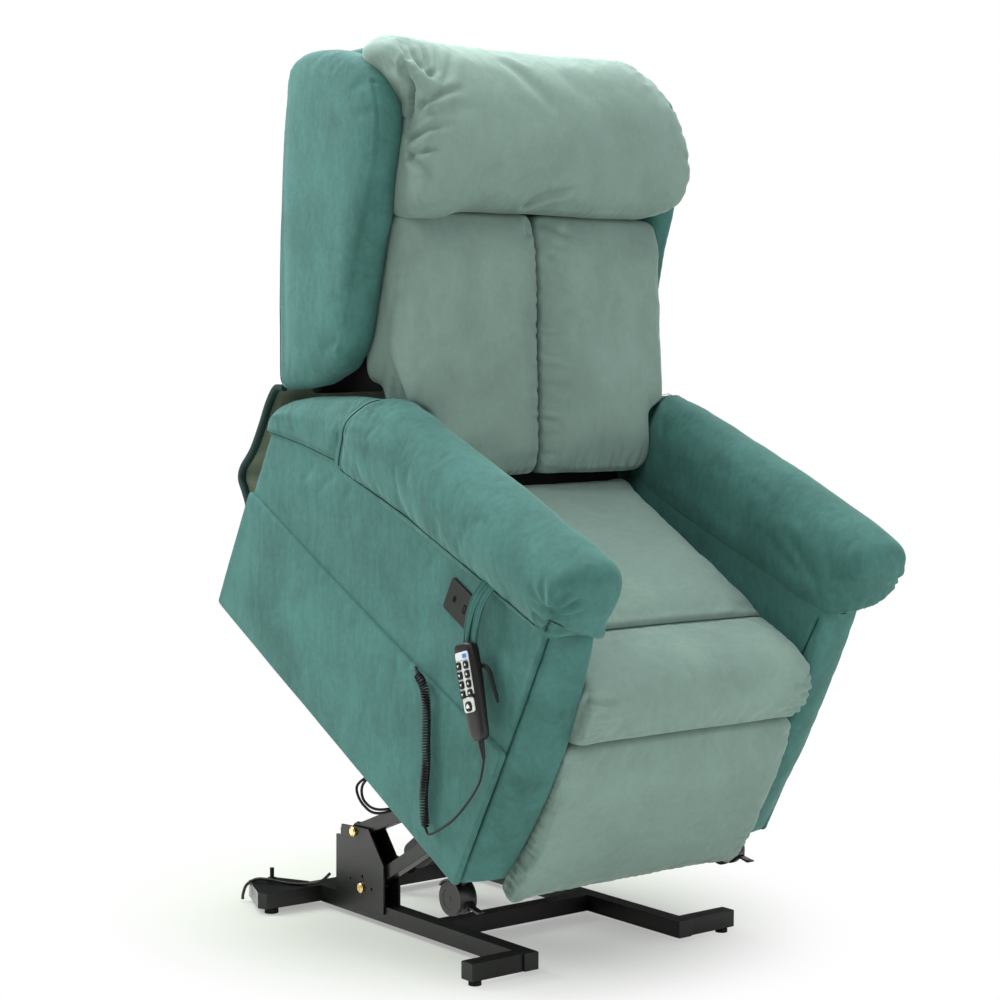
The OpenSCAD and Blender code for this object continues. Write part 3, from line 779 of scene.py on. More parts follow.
def make_back_cushion(side):
    name = "back_cushion_" + SIDE_NAME[side]
    v, f = slab(CUSHION_OUTLINE, CUSHION_INNER_X, CUSHION_OUTER_X, 0.013, 0.026, passes=4,
                n=240)
    narrow = CUSHION_FOOT + (1 - CUSHION_FOOT) * ramp(v[:, 2], 0.102, 0.132)
    v[:, 0] = np.where(v[:, 0] > 0, CUSHION_INNER_X + (v[:, 0] - CUSHION_INNER_X) * narrow,
                       v[:, 0])
    # the front falls back towards the centre seam
    v[:, 1] += (0.020 * np.clip(1 - v[:, 0] / 0.055, 0, 1) ** 2
                * ramp(-v[:, 1], -0.020, 0.030))
    obj = remeshed(name + "_skin", (v, f), VOXEL * 0.95, 6)
    x, y, z = coords(obj).T
    puff(obj, (x < 0.006) | (y > 0.03) | (z < 0.008) | (z > 0.44), pressure=4.0, frames=12,
         reach=0.0065, shrink=-0.012)
    subdivide(obj)
    skin = Skin(obj)
    x, y, z = skin.co.T
    front = ramp(-skin.normals[:, 1], 0.3, 0.8)
    skin.disp += (front * 0.006 * np.sin(np.clip(x / 0.284, 0, 1) * math.pi) ** 0.7
                  * ramp(z, 0.0, 0.07) * ramp(-z, -0.47, -0.36))
    skin.ripple(9, seed=3.0 + side, height=0.0016, side=side)
    skin.apply()
    # pulls along the centre seam, then along the bottom edge
    for z in scattered(0.02, 0.43, 15, spread=(0.15, 0.85)):
        skin.groove([(0.001, -0.030, z), (0.016, -0.046, z + jitter(0.004)),
                     (rand(0.03, 0.055), -0.05, z + rand(-0.012, 0.008))],
                    depth=rand(0.001, 0.0024), width=0.0048, ridge=0.0004, fade=(0, 0.7))
    for x in scattered(0.01, 0.235, 17):
        skin.groove([(x, -0.018, 0.000), (x + jitter(0.003), -0.038, 0.017),
                     (x + jitter(0.01), -0.048, rand(0.035, 0.065))],
                    depth=rand(0.0014, 0.003), width=0.0046, ridge=0.0006, fade=(0, 0.7))
    for *line, depth in CUSHION_PULLS[side]:
        skin.groove(line, depth=depth, fade=(0, 0.6), **CUSHION_PULL_FORM[side])
    skin.apply()
    to_side(side, skin)
    place(obj, SAGE, "backrest", "sage_velvet", BACK, name)


# ------------------------------------------------------------------ head pillow
PILLOW_OUTLINE = [  # y, z
    (0.034, 0.474), (0.004, 0.455), (-0.040, 0.4555), (-0.074, 0.468), (-0.095, 0.502),
    (-0.101, 0.552), (-0.098, 0.606), (-0.085, 0.660), (-0.058, 0.708), (-0.018, 0.738),
    (0.026, 0.7435), (0.054, 0.728), (0.060, 0.690), (0.055, 0.600), (0.050, 0.510)]
PILLOW_CENTRE = np.array([-0.020, 0.600])
# for each end: reach in x, length of its rounding, smallest scale, (y, z) shift of the end
PILLOW_RIGHT = (0.314, 0.034, 0.42, np.array([-0.012, 0.028]))
PILLOW_LEFT = (0.330, 0.062, 0.22, np.array([-0.004, -0.02]))
# width factor of each end by height: z, factor
PILLOW_LEFT_WIDTH = ([0.455, 0.481, 0.527, 0.618, 0.688, 0.737],
                     [0.865, 0.945, 0.955, 0.918, 0.835, 0.735])
PILLOW_RIGHT_WIDTH = ([0.455, 0.50, 0.545, 0.603, 0.65, 0.695, 0.722, 0.745],
                      [0.995, 0.975, 0.950, 0.915, 0.945, 1.045, 1.075, 1.02])
GATHER = (-0.299, -0.034, 0.598)  # where the pleats of the right end meet
PLEATS = [  # end x, end z, depth, width
    (-0.330, 0.694, 0.0075, 0.0050), (-0.312, 0.721, 0.0090, 0.0052),
    (-0.288, 0.730, 0.0075, 0.0050), (-0.259, 0.730, 0.0090, 0.0060),
    (-0.232, 0.728, 0.0065, 0.0064), (-0.198, 0.722, 0.0042, 0.0080)]
PILLOW_FOLDS = [  # points, depth, width, ridge, fade
    # right end, inwards from the gather point
    ([(-0.299, -0.036, 0.598), (-0.282, -0.078, 0.622), (-0.250, -0.085, 0.638),
      (-0.205, -0.085, 0.648)], 0.0110, 0.0062, 0.0044, (0.03, 0.55)),
    ([(-0.300, -0.040, 0.564), (-0.286, -0.082, 0.574), (-0.262, -0.09, 0.584),
      (-0.232, -0.09, 0.583)], 0.0085, 0.0060, 0.0030, (0.03, 0.55)),
    ([(-0.302, -0.045, 0.538), (-0.286, -0.085, 0.542), (-0.255, -0.09, 0.543)],
     0.0080, 0.0052, 0.0026, (0.03, 0.5)),
    ([(-0.302, -0.045, 0.538), (-0.292, -0.085, 0.516), (-0.274, -0.09, 0.489)],
     0.0080, 0.0064, 0.0028, (0.05, 0.55)),
    ([(-0.299, -0.040, 0.597), (-0.270, -0.084, 0.604), (-0.215, -0.09, 0.612),
      (-0.160, -0.09, 0.622)], 0.0035, 0.0100, 0.0012, (0.1, 0.7)),
    # a raised roll low on the right end
    ([(-0.292, -0.07, 0.470), (-0.262, -0.085, 0.478), (-0.225, -0.085, 0.485)],
     -0.0040, 0.020, 0.0, (0.0, 0.0)),
    # long soft diagonals
    ([(-0.120, -0.055, 0.724), (-0.068, -0.080, 0.668), (-0.002, -0.095, 0.608)],
     0.0050, 0.013, 0.0018, (0.2, 0.5)),
    ([(-0.020, -0.050, 0.730), (0.030, -0.080, 0.672), (0.100, -0.095, 0.630)],
     0.0018, 0.016, 0.0005, (0.3, 0.5)),
    ([(-0.16, -0.09, 0.535), (-0.12, -0.095, 0.500), (-0.10, -0.085, 0.472)],
     0.0020, 0.012, 0.0006, (0.3, 0.4))]
PUCKER = (-0.056, -0.066, 0.458)  # in the lower edge
PUCKER_FOLDS = [  # end x, end z, depth
    (-0.004, 0.497, 0.0048), (0.030, 0.492, 0.0036), (0.062, 0.494, 0.0046),
    (-0.036, 0.505, 0.0030)]
PILLOW_LEFT_FOLDS = [  # three points, depth
    ((0.300, -0.055, 0.640), (0.277, -0.072, 0.649), (0.240, -0.076, 0.660), 0.0046),
    ((0.315, -0.055, 0.612), (0.296, -0.075, 0.606), (0.262, -0.08, 0.602), 0.0046),
    ((0.322, -0.055, 0.560), (0.300, -0.080, 0.556), (0.262, -0.088, 0.560), 0.0042),
    ((0.322, -0.055, 0.522), (0.300, -0.08, 0.514), (0.270, -0.085, 0.512), 0.0034),
    ((0.290, -0.045, 0.672), (0.262, -0.062, 0.690), (0.225, -0.06, 0.704), 0.0040),
    ((0.252, -0.03, 0.716), (0.225, -0.045, 0.722), (0.190, -0.05, 0.722), 0.0030)]


def pillow_shape():
    outline = resample(spline(PILLOW_OUTLINE, 10, closed=True), n=190, closed=True)
    rings = []
    for x in np.r_[np.linspace(-0.312, -0.250, 16), np.linspace(-0.24, 0.24, 25),
                   np.linspace(0.25, 0.334, 20)]:
        reach, rounding, least, shift = PILLOW_RIGHT if x < 0 else PILLOW_LEFT
        t = max(0.0, (abs(x) - (reach - rounding)) / rounding)
        scale = least + (1 - least) * math.sqrt(max(1 - t**2.2, 0.0))
        centre = PILLOW_CENTRE + shift * t**2
        rings.append(ring_at(x, centre + (outline - PILLOW_CENTRE)
                             * np.array([0.25 + 0.75 * scale, scale])))
    v, f = ring_loft(rings)
    x, z = v[:, 0].copy(), v[:, 2].copy()
    width = np.where(x > 0, np.interp(z, *PILLOW_LEFT_WIDTH), np.interp(z, *PILLOW_RIGHT_WIDTH))
    v[:, 0] = x * (1 - (1 - width) * ramp(np.abs(x), 0.10, 0.30))
    # the lower right lobe hangs a little
    v[:, 2] -= 0.018 * ramp(-x, 0.16, 0.24) * ramp(-z, -0.60, -0.46)
    return v, f


def make_pillow():
    obj = remeshed("head_pillow_skin", pillow_shape(), VOXEL, 6)
    x, y, z = coords(obj).T
    pin = (y > 0.035) | ((z < 0.459) & (x > -0.2)) | (x < -0.318)
    pin |= (np.abs(x + 0.300) < 0.012) & (np.abs(z - 0.605) < 0.02)
    puff(obj, pin, pressure=4.0, frames=12, reach=0.0070, shrink=-0.012, bend=0.4)
    subdivide(obj)
    skin = Skin(obj)
    skin.ripple(7.5, seed=5.0, height=0.0022)
    skin.ripple(19, seed=6.0, height=0.0008)
    skin.apply()
    # the right end is pulled in at the gather point
    distance = np.linalg.norm((skin.co - np.array([-0.299, -0.034, 0.600])) * [1.0, 0.8, 1.0],
                              axis=1)
    skin.co[:, 0] += 0.006 * np.exp(-((distance / 0.020) ** 2))
    set_coords(obj, skin.co)
    skin = Skin(obj)
    # fan of pleats from the gather point up to the top edge
    gx, _, gz = GATHER
    for x, z, depth, width in PLEATS:
        skin.groove([GATHER, (gx * 0.45 + x * 0.55 - 0.002, -0.070, gz + (z - gz) * 0.50),
                     (x, -0.034, z)],
                    depth=depth * 1.25, width=width, ridge=depth * 0.50, fade=(0.04, 0.35))
    for line, depth, width, ridge, fade in PILLOW_FOLDS:
        skin.groove(line, depth=depth, width=width, ridge=ridge, fade=fade)
    px, _, pz = PUCKER
    for x, z, depth in PUCKER_FOLDS:
        skin.groove([PUCKER, ((px + x) / 2, -0.085, pz + (z - pz) * 0.6), (x, -0.09, z)],
                    depth=depth * 1.5, width=0.0065, ridge=depth * 0.5, fade=(0, 0.6))
    for *line, depth in PILLOW_LEFT_FOLDS:
        skin.groove(line, depth=depth * 0.55, width=0.0058, ridge=depth * 0.2, fade=(0.1, 0.5))
    # fine gathers in the seam along the bottom
    for x in scattered(-0.29, 0.60, 34):
        skin.groove([(x, -0.030, 0.457), (x + jitter(0.004), -0.060, 0.462),
                     (x + jitter(0.012), -0.085, rand(0.474, 0.492))],
                    depth=rand(0.0006, 0.0018), width=0.0048, fade=(0, 0.7))
    skin.apply(deepest=0.0115, tallest=0.0040)
    place(obj, SAGE, "backrest", "sage_velvet", BACK, "head_pillow")


# ------------------------------------------------------------------ wings
WING_OUTLINE = [  # y, z
    (0.105, 0.182), (0.167, 0.162), (0.240, 0.153), (0.292, 0.150), (0.301, 0.165),
    (0.297, 0.300), (0.290, 0.430), (0.274, 0.590), (0.254, 0.700), (0.232, 0.726),
    (0.190, 0.736), (0.145, 0.735), (0.095, 0.728), (0.050, 0.714), (0.012, 0.693),
    (-0.018, 0.664), (-0.033, 0.625), (-0.036, 0.580), (-0.030, 0.535), (-0.014, 0.466),
    (0.010, 0.401), (0.042, 0.302), (0.068, 0.228)]
WING_FACE = 0.347  # x just outside the outer face
WING_SEAM = [  # y, z along the front edge, from the top down
    (-0.014, 0.668), (-0.022, 0.640), (-0.028, 0.600), (-0.026, 0.560), (-0.010, 0.500),
    (0.006, 0.453), (0.026, 0.407), (0.044, 0.349), (0.068, 0.270), (0.092, 0.214)]
WING_PULLS = [  # start y, z, end y, z, depth
    (0.000, 0.660, 0.060, 0.640, 0.0016), (-0.01, 0.610, 0.035, 0.600, 0.0012),
    (0.075, 0.30, 0.13, 0.285, 0.0014), (0.10, 0.23, 0.16, 0.205, 0.0018)]


def make_wing(side):
    name = "wing_" + SIDE_NAME[side]
    obj = remeshed(name + "_skin", slab(WING_OUTLINE, 0.286, 0.346, 0.023, passes=4, n=240),
                   VOXEL * 0.95, 6)
    puff(obj, coords(obj)[:, 1] > 0.26, pressure=2.0, frames=10, reach=0.008)
    subdivide(obj)
    skin = Skin(obj)
    y = skin.co[:, 1]
    skin.disp += (np.abs(skin.normals[:, 0]) * 0.004 * ramp(y, -0.02, 0.08)
                  * ramp(-y, -0.28, -0.20))
    skin.ripple(8, seed=8.0 + side, height=0.0016, side=side)
    skin.apply()
    skin.groove([(WING_FACE, y, z) for y, z in WING_SEAM],
                depth=0.0024, width=0.0036, ridge=0.0004)
    # both ends of the front seam turn inwards
    skin.groove([(0.347, -0.014, 0.668), (0.336, -0.026, 0.664), (0.318, -0.034, 0.654)],
                depth=0.0022, width=0.0036, ridge=0.0003, fade=(0, 0.4))
    skin.groove([(0.347, 0.092, 0.214), (0.340, 0.084, 0.205), (0.325, 0.078, 0.200)],
                depth=0.0026, width=0.0036, ridge=0.0003, fade=(0, 0.4))
    skin.groove([(0.347, 0.080, 0.222), (0.347, 0.092, 0.214)],
                depth=0.0035, width=0.0040, ridge=0.001, fade=(0.3, 0))
    rear_seam = skin.groove([(0.346, 0.288, 0.160), (0.346, 0.281, 0.405),
                             (0.346, 0.260, 0.590), (0.346, 0.240, 0.700)],
                            depth=0.003, width=0.004, ridge=0.001)
    for y0, z0, y1, z1, depth in WING_PULLS:
        skin.groove([(WING_FACE, y0, z0), (WING_FACE, (y0 + y1) / 2, (z0 + z1) / 2 + 0.004),
                     (WING_FACE, y1, z1)], depth=depth, width=0.010, fade=(0, 0.7))
    skin.apply()
    threads = [skin.thread(rear_seam, knots=18, sink=0.0008, radius=0.0007)]
    threads = to_side(side, skin, threads)
    place(obj, TEAL, "backrest", "teal_velvet", BACK, name)
    place_threads(name + "_seam", threads, THREAD, "backrest", "teal_velvet", BACK)


# ------------------------------------------------------------------ arm pads
PAD_FRONT = -0.037
PAD_REAR = 0.869
PAD_FRONT_R = 0.036
# y stations and values of the top, the bottom and the outer side
PAD_TOP = ([-0.037, 0.05, 0.21, 0.38, 0.50, 0.56, 0.60, 0.64, 0.70, 0.77, 0.81, 0.84, 0.858,
            0.872],
           [0.629, 0.630, 0.621, 0.607, 0.597, 0.586, 0.571, 0.549, 0.516, 0.478, 0.450, 0.420,
            0.395, 0.372])
PAD_BOTTOM = ([-0.037, 0.0, 0.157, 0.231, 0.412, 0.61, 0.72, 0.83, 0.872],
              [0.486, 0.482, 0.468, 0.462, 0.445, 0.414, 0.392, 0.362, 0.352])
PAD_OUTER = ([-0.037, 0.2, 0.4, 0.58, 0.62, 0.70, 0.872],
             [0.391, 0.388, 0.381, 0.372, 0.364, 0.360, 0.356])
CRESCENT = [  # curved seam over the pad, from the inner to the outer side
    (0.2495, 0.528, 0.530), (0.252, 0.538, 0.560), (0.268, 0.550, 0.582),
    (0.300, 0.560, 0.585), (0.335, 0.574, 0.578), (0.362, 0.592, 0.555),
    (0.369, 0.604, 0.520), (0.363, 0.608, 0.475), (0.352, 0.606, 0.424)]
CRESCENT_STEP = ([0.2495, 0.268, 0.30, 0.335, 0.362, 0.369],  # x, y where the pad drops
                 [0.535, 0.550, 0.560, 0.574, 0.594, 0.605])
FRONT_STEP = ([0.250, 0.262, 0.29, 0.322, 0.352, 0.374],  # x, z below which the front recedes
              [0.490, 0.496, 0.507, 0.520, 0.529, 0.532])
FRONT_FOLD_FOOT = ([0.262, 0.29, 0.322, 0.352, 0.374],  # x, z where the front folds start
                   [0.498, 0.509, 0.522, 0.531, 0.535])
CRESCENT_WRINKLES = [  # start z, end y, end z, x, depth
    (0.560, 0.500, 0.577, 0.366, 0.0030), (0.548, 0.455, 0.572, 0.370, 0.0034),
    (0.532, 0.490, 0.556, 0.373, 0.0022), (0.578, 0.520, 0.588, 0.350, 0.0022),
    (0.505, 0.520, 0.530, 0.372, 0.0016)]
PAD_BAND = [(0.356, 0.622, 0.434), (0.357, 0.70, 0.412), (0.356, 0.78, 0.386),
            (0.352, 0.838, 0.366)]
CORNER = (0.384, -0.020, 0.545)
CORNER_FAN = [  # middle and end point, depth, width
    ((0.380, -0.030, 0.575), (0.366, -0.034, 0.604), 0.0065, 0.0052),
    ((0.368, -0.036, 0.566), (0.340, -0.038, 0.590), 0.0085, 0.0052),
    ((0.360, -0.036, 0.552), (0.322, -0.038, 0.564), 0.0060, 0.0048),
    ((0.388, -0.002, 0.570), (0.386, 0.020, 0.600), 0.0042, 0.0058),
    ((0.388, 0.004, 0.556), (0.388, 0.040, 0.572), 0.0040, 0.0058),
    ((0.386, 0.000, 0.545), (0.386, 0.030, 0.548), 0.0030, 0.0050),
    ((0.384, -0.028, 0.590), (0.380, -0.020, 0.614), 0.0028, 0.0060)]
PAD_FRONT_SEAM = [
    (0.355, 0.006, 0.488), (0.363, -0.008, 0.512), (0.374, -0.018, 0.534),
    (0.352, -0.030, 0.530), (0.322, -0.032, 0.521), (0.290, -0.031, 0.508),
    (0.262, -0.026, 0.497)]
PAD_INNER_PULLS = [  # three points, depth
    ((0.2495, 0.02, 0.515), (0.2495, 0.09, 0.545), (0.252, 0.17, 0.570), 0.0028),
    ((0.2495, 0.05, 0.505), (0.2495, 0.12, 0.525), (0.2495, 0.20, 0.536), 0.0022),
    ((0.2495, -0.01, 0.54), (0.252, 0.03, 0.575), (0.262, 0.08, 0.602), 0.0022)]


def pad_section(y):
    """(x, z) outline of the pad at y."""
    top, low, outer = (np.interp(y, *table) for table in (PAD_TOP, PAD_BOTTOM, PAD_OUTER))
    h = top - low
    k = min(1.0, h / 0.142)
    points = [
        (0.254, low - 0.004), (0.2495, low + 0.30 * h), (0.2495, top - 0.052 * k),
        (0.258, top - 0.020 * k), (0.280, top - 0.004 * k), (0.312, top),
        (0.342, top - 0.003 * k), (outer - 0.016, top - 0.017 * k),
        (outer - 0.003, top - 0.038 * k), (outer, top - 0.060 * k),
        (outer - 0.005, top - 0.082 * k), (0.5 * (outer + 0.350) - 0.002, low + 0.030 * k),
        (0.3505, low + 0.008 * k), (0.343, low - 0.004), (0.30, low - 0.005)]
    return resample(spline(points, 8, closed=True), n=150, closed=True)


def pad_shape():
    rings = []
    for y in np.r_[np.linspace(PAD_FRONT, 0.0, 12), np.linspace(0.015, 0.83, 50),
                   np.linspace(0.838, PAD_REAR, 8)]:
        section = pad_section(y)
        centre = section.mean(0)
        inset = (PAD_FRONT_R * (1 - quarter(y - PAD_FRONT, PAD_FRONT_R))
                 + 0.035 * (1 - quarter(PAD_REAR - y, 0.04)))
        half = 0.5 * (section.max(0) - section.min(0))
        q = centre + (section - centre) * np.maximum(0.08, 1 - inset / half)
        rings.append(np.column_stack([q[:, 0], np.full(len(q), y), q[:, 1]]))
    return ring_loft(rings)


def pad_seams(skin):
    """Cuts the seams; returns crescent, its rear parallel, band, side and front seam."""
    crescent = skin.groove(CRESCENT, depth=0.0048, width=0.0040, ridge=0.0014)
    parallel = skin.groove([(x, y + 0.013, z - 0.002) for x, y, z in CRESCENT],
                           depth=0.0014, width=0.0034)
    # low on the outer side of the rear part
    band = skin.groove(PAD_BAND, depth=0.0052, width=0.0036, ridge=0.0016)
    skin.groove([(x, y, z - 0.017) for x, y, z in PAD_BAND],
                depth=0.0040, width=0.0034, ridge=0.0008)
    side_line = [(0.3555, y, float(np.interp(y, *PAD_BOTTOM)) + 0.011)
                 for y in (0.600, 0.50, 0.40, 0.30, 0.20, 0.10, 0.03)]
    side_line.append((0.360, 0.002, float(np.interp(0, *PAD_BOTTOM)) + 0.018))
    side_seam = skin.groove(side_line, depth=0.0022, width=0.0032)
    front = skin.groove(PAD_FRONT_SEAM, depth=0.0060, width=0.0042, ridge=0.0018,
                        fade=(0.05, 0.05))
    return crescent, parallel, band, side_seam, front


def pad_wrinkles(skin):
    # in front of the crescent
    for z0, y1, z1, x, depth in CRESCENT_WRINKLES:
        skin.groove([(x - 0.004, 0.596, z0), (x, (0.596 + y1) / 2, (z0 + z1) / 2 + 0.006),
                     (x + 0.002, y1, z1)],
                    depth=depth, width=0.0062, ridge=depth * 0.35, fade=(0.05, 0.6))
    # fan at the outer front corner
    for middle, end, depth, width in CORNER_FAN:
        skin.groove([CORNER, middle, end], depth=depth, width=width, ridge=depth * 0.18,
                    fade=(0.14, 0.5))
    # up from the front seam
    for x in scattered(0.262, 0.100, 12):
        z = float(np.interp(x, *FRONT_FOLD_FOOT))
        skin.groove([(x, -0.031, z + 0.002),
                     (x + rand(-0.008, 0.002), -0.036, z + rand(0.018, 0.040))],
                    depth=rand(0.0010, 0.0026), width=0.0044, ridge=0.0004, fade=(0, 0.7))
    # soft diagonals on the inner face near the front
    for *line, depth in PAD_INNER_PULLS:
        skin.groove(line, depth=depth, width=0.010, ridge=depth * 0.3, fade=(0.2, 0.5))


def make_arm_pad(side):
    name = "arm_pad_" + SIDE_NAME[side]
    obj = remeshed(name + "_skin", pad_shape(), VOXEL * 0.95, 5)
    _, y, z = coords(obj).T
    puff(obj, (z < np.interp(y, *PAD_BOTTOM) + 0.012) | (np.abs(y - 0.607) < 0.01),
         pressure=3.0, frames=10, reach=0.0055, shrink=-0.008)
    subdivide(obj)
    skin = Skin(obj)
    x, y, z = skin.co.T
    step_y = np.interp(x, *CRESCENT_STEP)
    drop = 0.0060 * ramp(y, step_y - 0.004, step_y + 0.008)
    skin.co[:, 1] += (0.022 * ramp(np.interp(x, *FRONT_STEP) - z, 0.000, 0.008)
                      * ramp(-y, -0.03, 0.010))
    set_coords(obj, skin.co)
    skin = Skin(obj)
    skin.disp -= drop
    skin.ripple(7, seed=11.0 + side, height=0.0019, side=side)
    skin.ripple(16, seed=12.0 + side, height=0.0007, side=side)
    skin.apply()
    crescent, parallel, band, side_seam, front = pad_seams(skin)
    pad_wrinkles(skin)
    skin.apply(deepest=0.0072, tallest=0.0018)
    threads = [skin.thread(seam, knots=18, sink=0.0007, radius=0.0009)
               for seam in (crescent, band, side_seam, front)]
    rows = []
    for seam, offsets in ((parallel, (0.0, -0.0045)), (side_seam, (0.0075, 0.0045))):
        path, normals = skin.retrace(seam, knots=18)
        rows += [stitches(path, normals, offset) for offset in offsets]
    shapes = to_side(side, skin, threads + rows)
    place(obj, TEAL, "chair", "teal_velvet", CHAIR, name)
    place_threads(name + "_seams", shapes[:4], THREAD, "chair", "teal_velvet", CHAIR)
    place_threads(name + "_stitches", shapes[4:], STITCHING, "chair", "teal_velvet", CHAIR)


# ------------------------------------------------------------------ arm bodies, side panels
ARM_INNER_X = 0.2515
ARM_OUTER_X = 0.3455
ARM_REAR = 0.834
ARM_OUTLINE = [  # y, z
    (0.002, 0.002), (0.834, 0.002), (0.834, 0.30), (0.836, 0.345), (0.828, 0.385),
    (0.79, 0.43), (0.72, 0.470), (0.62, 0.505), (0.50, 0.520), (0.3, 0.525), (0.0, 0.540)]
ARM_PULLS = [  # three points on the outer side, depth
    ((0.346, 0.02, 0.46), (0.347, 0.07, 0.42), (0.348, 0.12, 0.40), 0.0016),
    ((0.348, 0.62, 0.40), (0.349, 0.64, 0.37), (0.349, 0.65, 0.33), 0.0022),
    ((0.348, 0.56, 0.41), (0.349, 0.57, 0.39), (0.349, 0.575, 0.36), 0.0016),
    ((0.348, 0.68, 0.385), (0.349, 0.69, 0.36), (0.349, 0.70, 0.33), 0.0018),
    ((0.348, 0.30, 0.445), (0.349, 0.31, 0.42), (0.349, 0.315, 0.39), 0.0012)]
PANEL_OUTLINE = [  # y, z
    (-0.001, 0.000), (0.836, 0.000), (0.836, 0.2445), (0.60, 0.2470), (0.30, 0.2525),
    (0.10, 0.2640), (-0.001, 0.2700)]
PANEL_TOP = ([0, 0.1, 0.3, 0.6, 0.836], [0.270, 0.264, 0.2525, 0.247, 0.2445])  # y, z


def make_arm_body(side):
    name = "arm_body_" + SIDE_NAME[side]
    obj = remeshed(name + "_skin",
                   slab(ARM_OUTLINE, ARM_INNER_X, ARM_OUTER_X, 0.010, passes=2, n=260),
                   VOXEL * 1.05, 5)
    subdivide(obj)
    points = coords(obj)
    x, y, z = points.T
    # the front bulges forwards, most towards its inner edge
    across = np.clip((x - ARM_INNER_X) / (ARM_OUTER_X - ARM_INNER_X), 0, 1)
    front = ramp(-y, -0.075, -0.004)
    swell = np.sin(math.pi * np.clip((z + 0.035) / 0.535, 0, 1)) ** 0.8
    points[:, 1] -= 0.040 * (1 - 0.85 * across**3 - 0.20 * (1 - across) ** 6) * front * swell
    points[:, 0] -= 0.006 * (1 - across) ** 2 * front * swell
    # the outer side swells slightly between its edges
    points[:, 0] += (0.0022 * ramp(x, 0.335, 0.345) * ramp(y, 0.0, 0.10)
                     * ramp(-y, -ARM_REAR, -0.72) * ramp(z, 0.27, 0.33) * ramp(-z, -0.48, -0.40))
    set_coords(obj, points)
    skin = Skin(obj)
    skin.ripple(6, seed=15.0 + side, height=0.0011, side=side)
    skin.ripple(15, seed=16.0 + side, height=0.0005, side=side)
    skin.apply()
    seams = [
        skin.groove([(ARM_OUTER_X, y, z) for y, z in (
            (0.000, 0.482), (-0.001, 0.40), (-0.001, 0.25), (-0.001, 0.12), (0.0, 0.012))],
            depth=0.0040, width=0.0040, ridge=0.0014),
        skin.groove([(ARM_INNER_X, y, z) for y, z in (
            (0.002, 0.47), (0.001, 0.30), (0.001, 0.14), (0.002, 0.012))],
            depth=0.003, width=0.004, ridge=0.001)]
    for *line, depth in ARM_PULLS:
        skin.groove(line, depth=depth, width=0.009, fade=(0, 0.6))
    # faint creases inwards from the outer front seam
    for z in scattered(0.05, 0.42, 8):
        skin.groove([(0.345, -0.003, z), (0.330, -0.022, z + jitter(0.01)),
                     (0.31, -0.028, z + jitter(0.02))],
                    depth=rand(0.0006, 0.0014), width=0.008, fade=(0, 0.7))
    skin.apply()
    threads = [skin.thread(seam, knots=12, sink=0.0007, radius=0.0010) for seam in seams]
    threads = to_side(side, skin, threads)
    place(obj, TEAL, "chair", "teal_velvet", CHAIR, name)
    place_threads(name + "_seams", threads, THREAD, "chair", "teal_velvet", CHAIR)


def make_side_panel(side):
    name = "side_panel_" + SIDE_NAME[side]
    obj = remeshed(name + "_skin", slab(PANEL_OUTLINE, 0.3405, 0.3530, 0.0055, n=300),
                   0.0036, 3)
    skin = Skin(obj)
    _, y, z = skin.co.T
    skin.disp += np.abs(skin.normals[:, 0]) * (
        0.0028 * ramp(y, 0.0, 0.12) * ramp(-y, -0.836, -0.70) * ramp(z, 0.0, 0.05)
        * ramp(-z, -0.25, -0.19))
    skin.ripple(7, seed=21.0 + side, height=0.0009, side=side)
    skin.apply()
    # faint creases down from the top edge
    for y in scattered(0.05, 0.74, 12, spread=(0.1, 0.9)):
        top = float(np.interp(y, *PANEL_TOP))
        skin.groove([(0.353, y, top - 0.006), (0.354, y + jitter(0.02), top - rand(0.03, 0.06))],
                    depth=rand(0.0005, 0.0012), width=0.007, fade=(0, 0.7))
    skin.apply()
    to_side(side, skin)
    place(obj, TEAL, "chair", "teal_velvet", CHAIR, name)


# ------------------------------------------------------------------ leg rest
LEGREST_X = 0.256  # half width
LEGREST_OUTLINE = [  # y, z
    (0.0078, -0.018), (0.002, -0.026), (-0.020, -0.032), (-0.037, -0.025), (-0.047, 0.008),
    (-0.050, 0.060), (-0.050, 0.190), (-0.047, 0.246), (-0.038, 0.280), (-0.022, 0.2895),
    (0.001, 0.286), (0.0078, 0.272)]


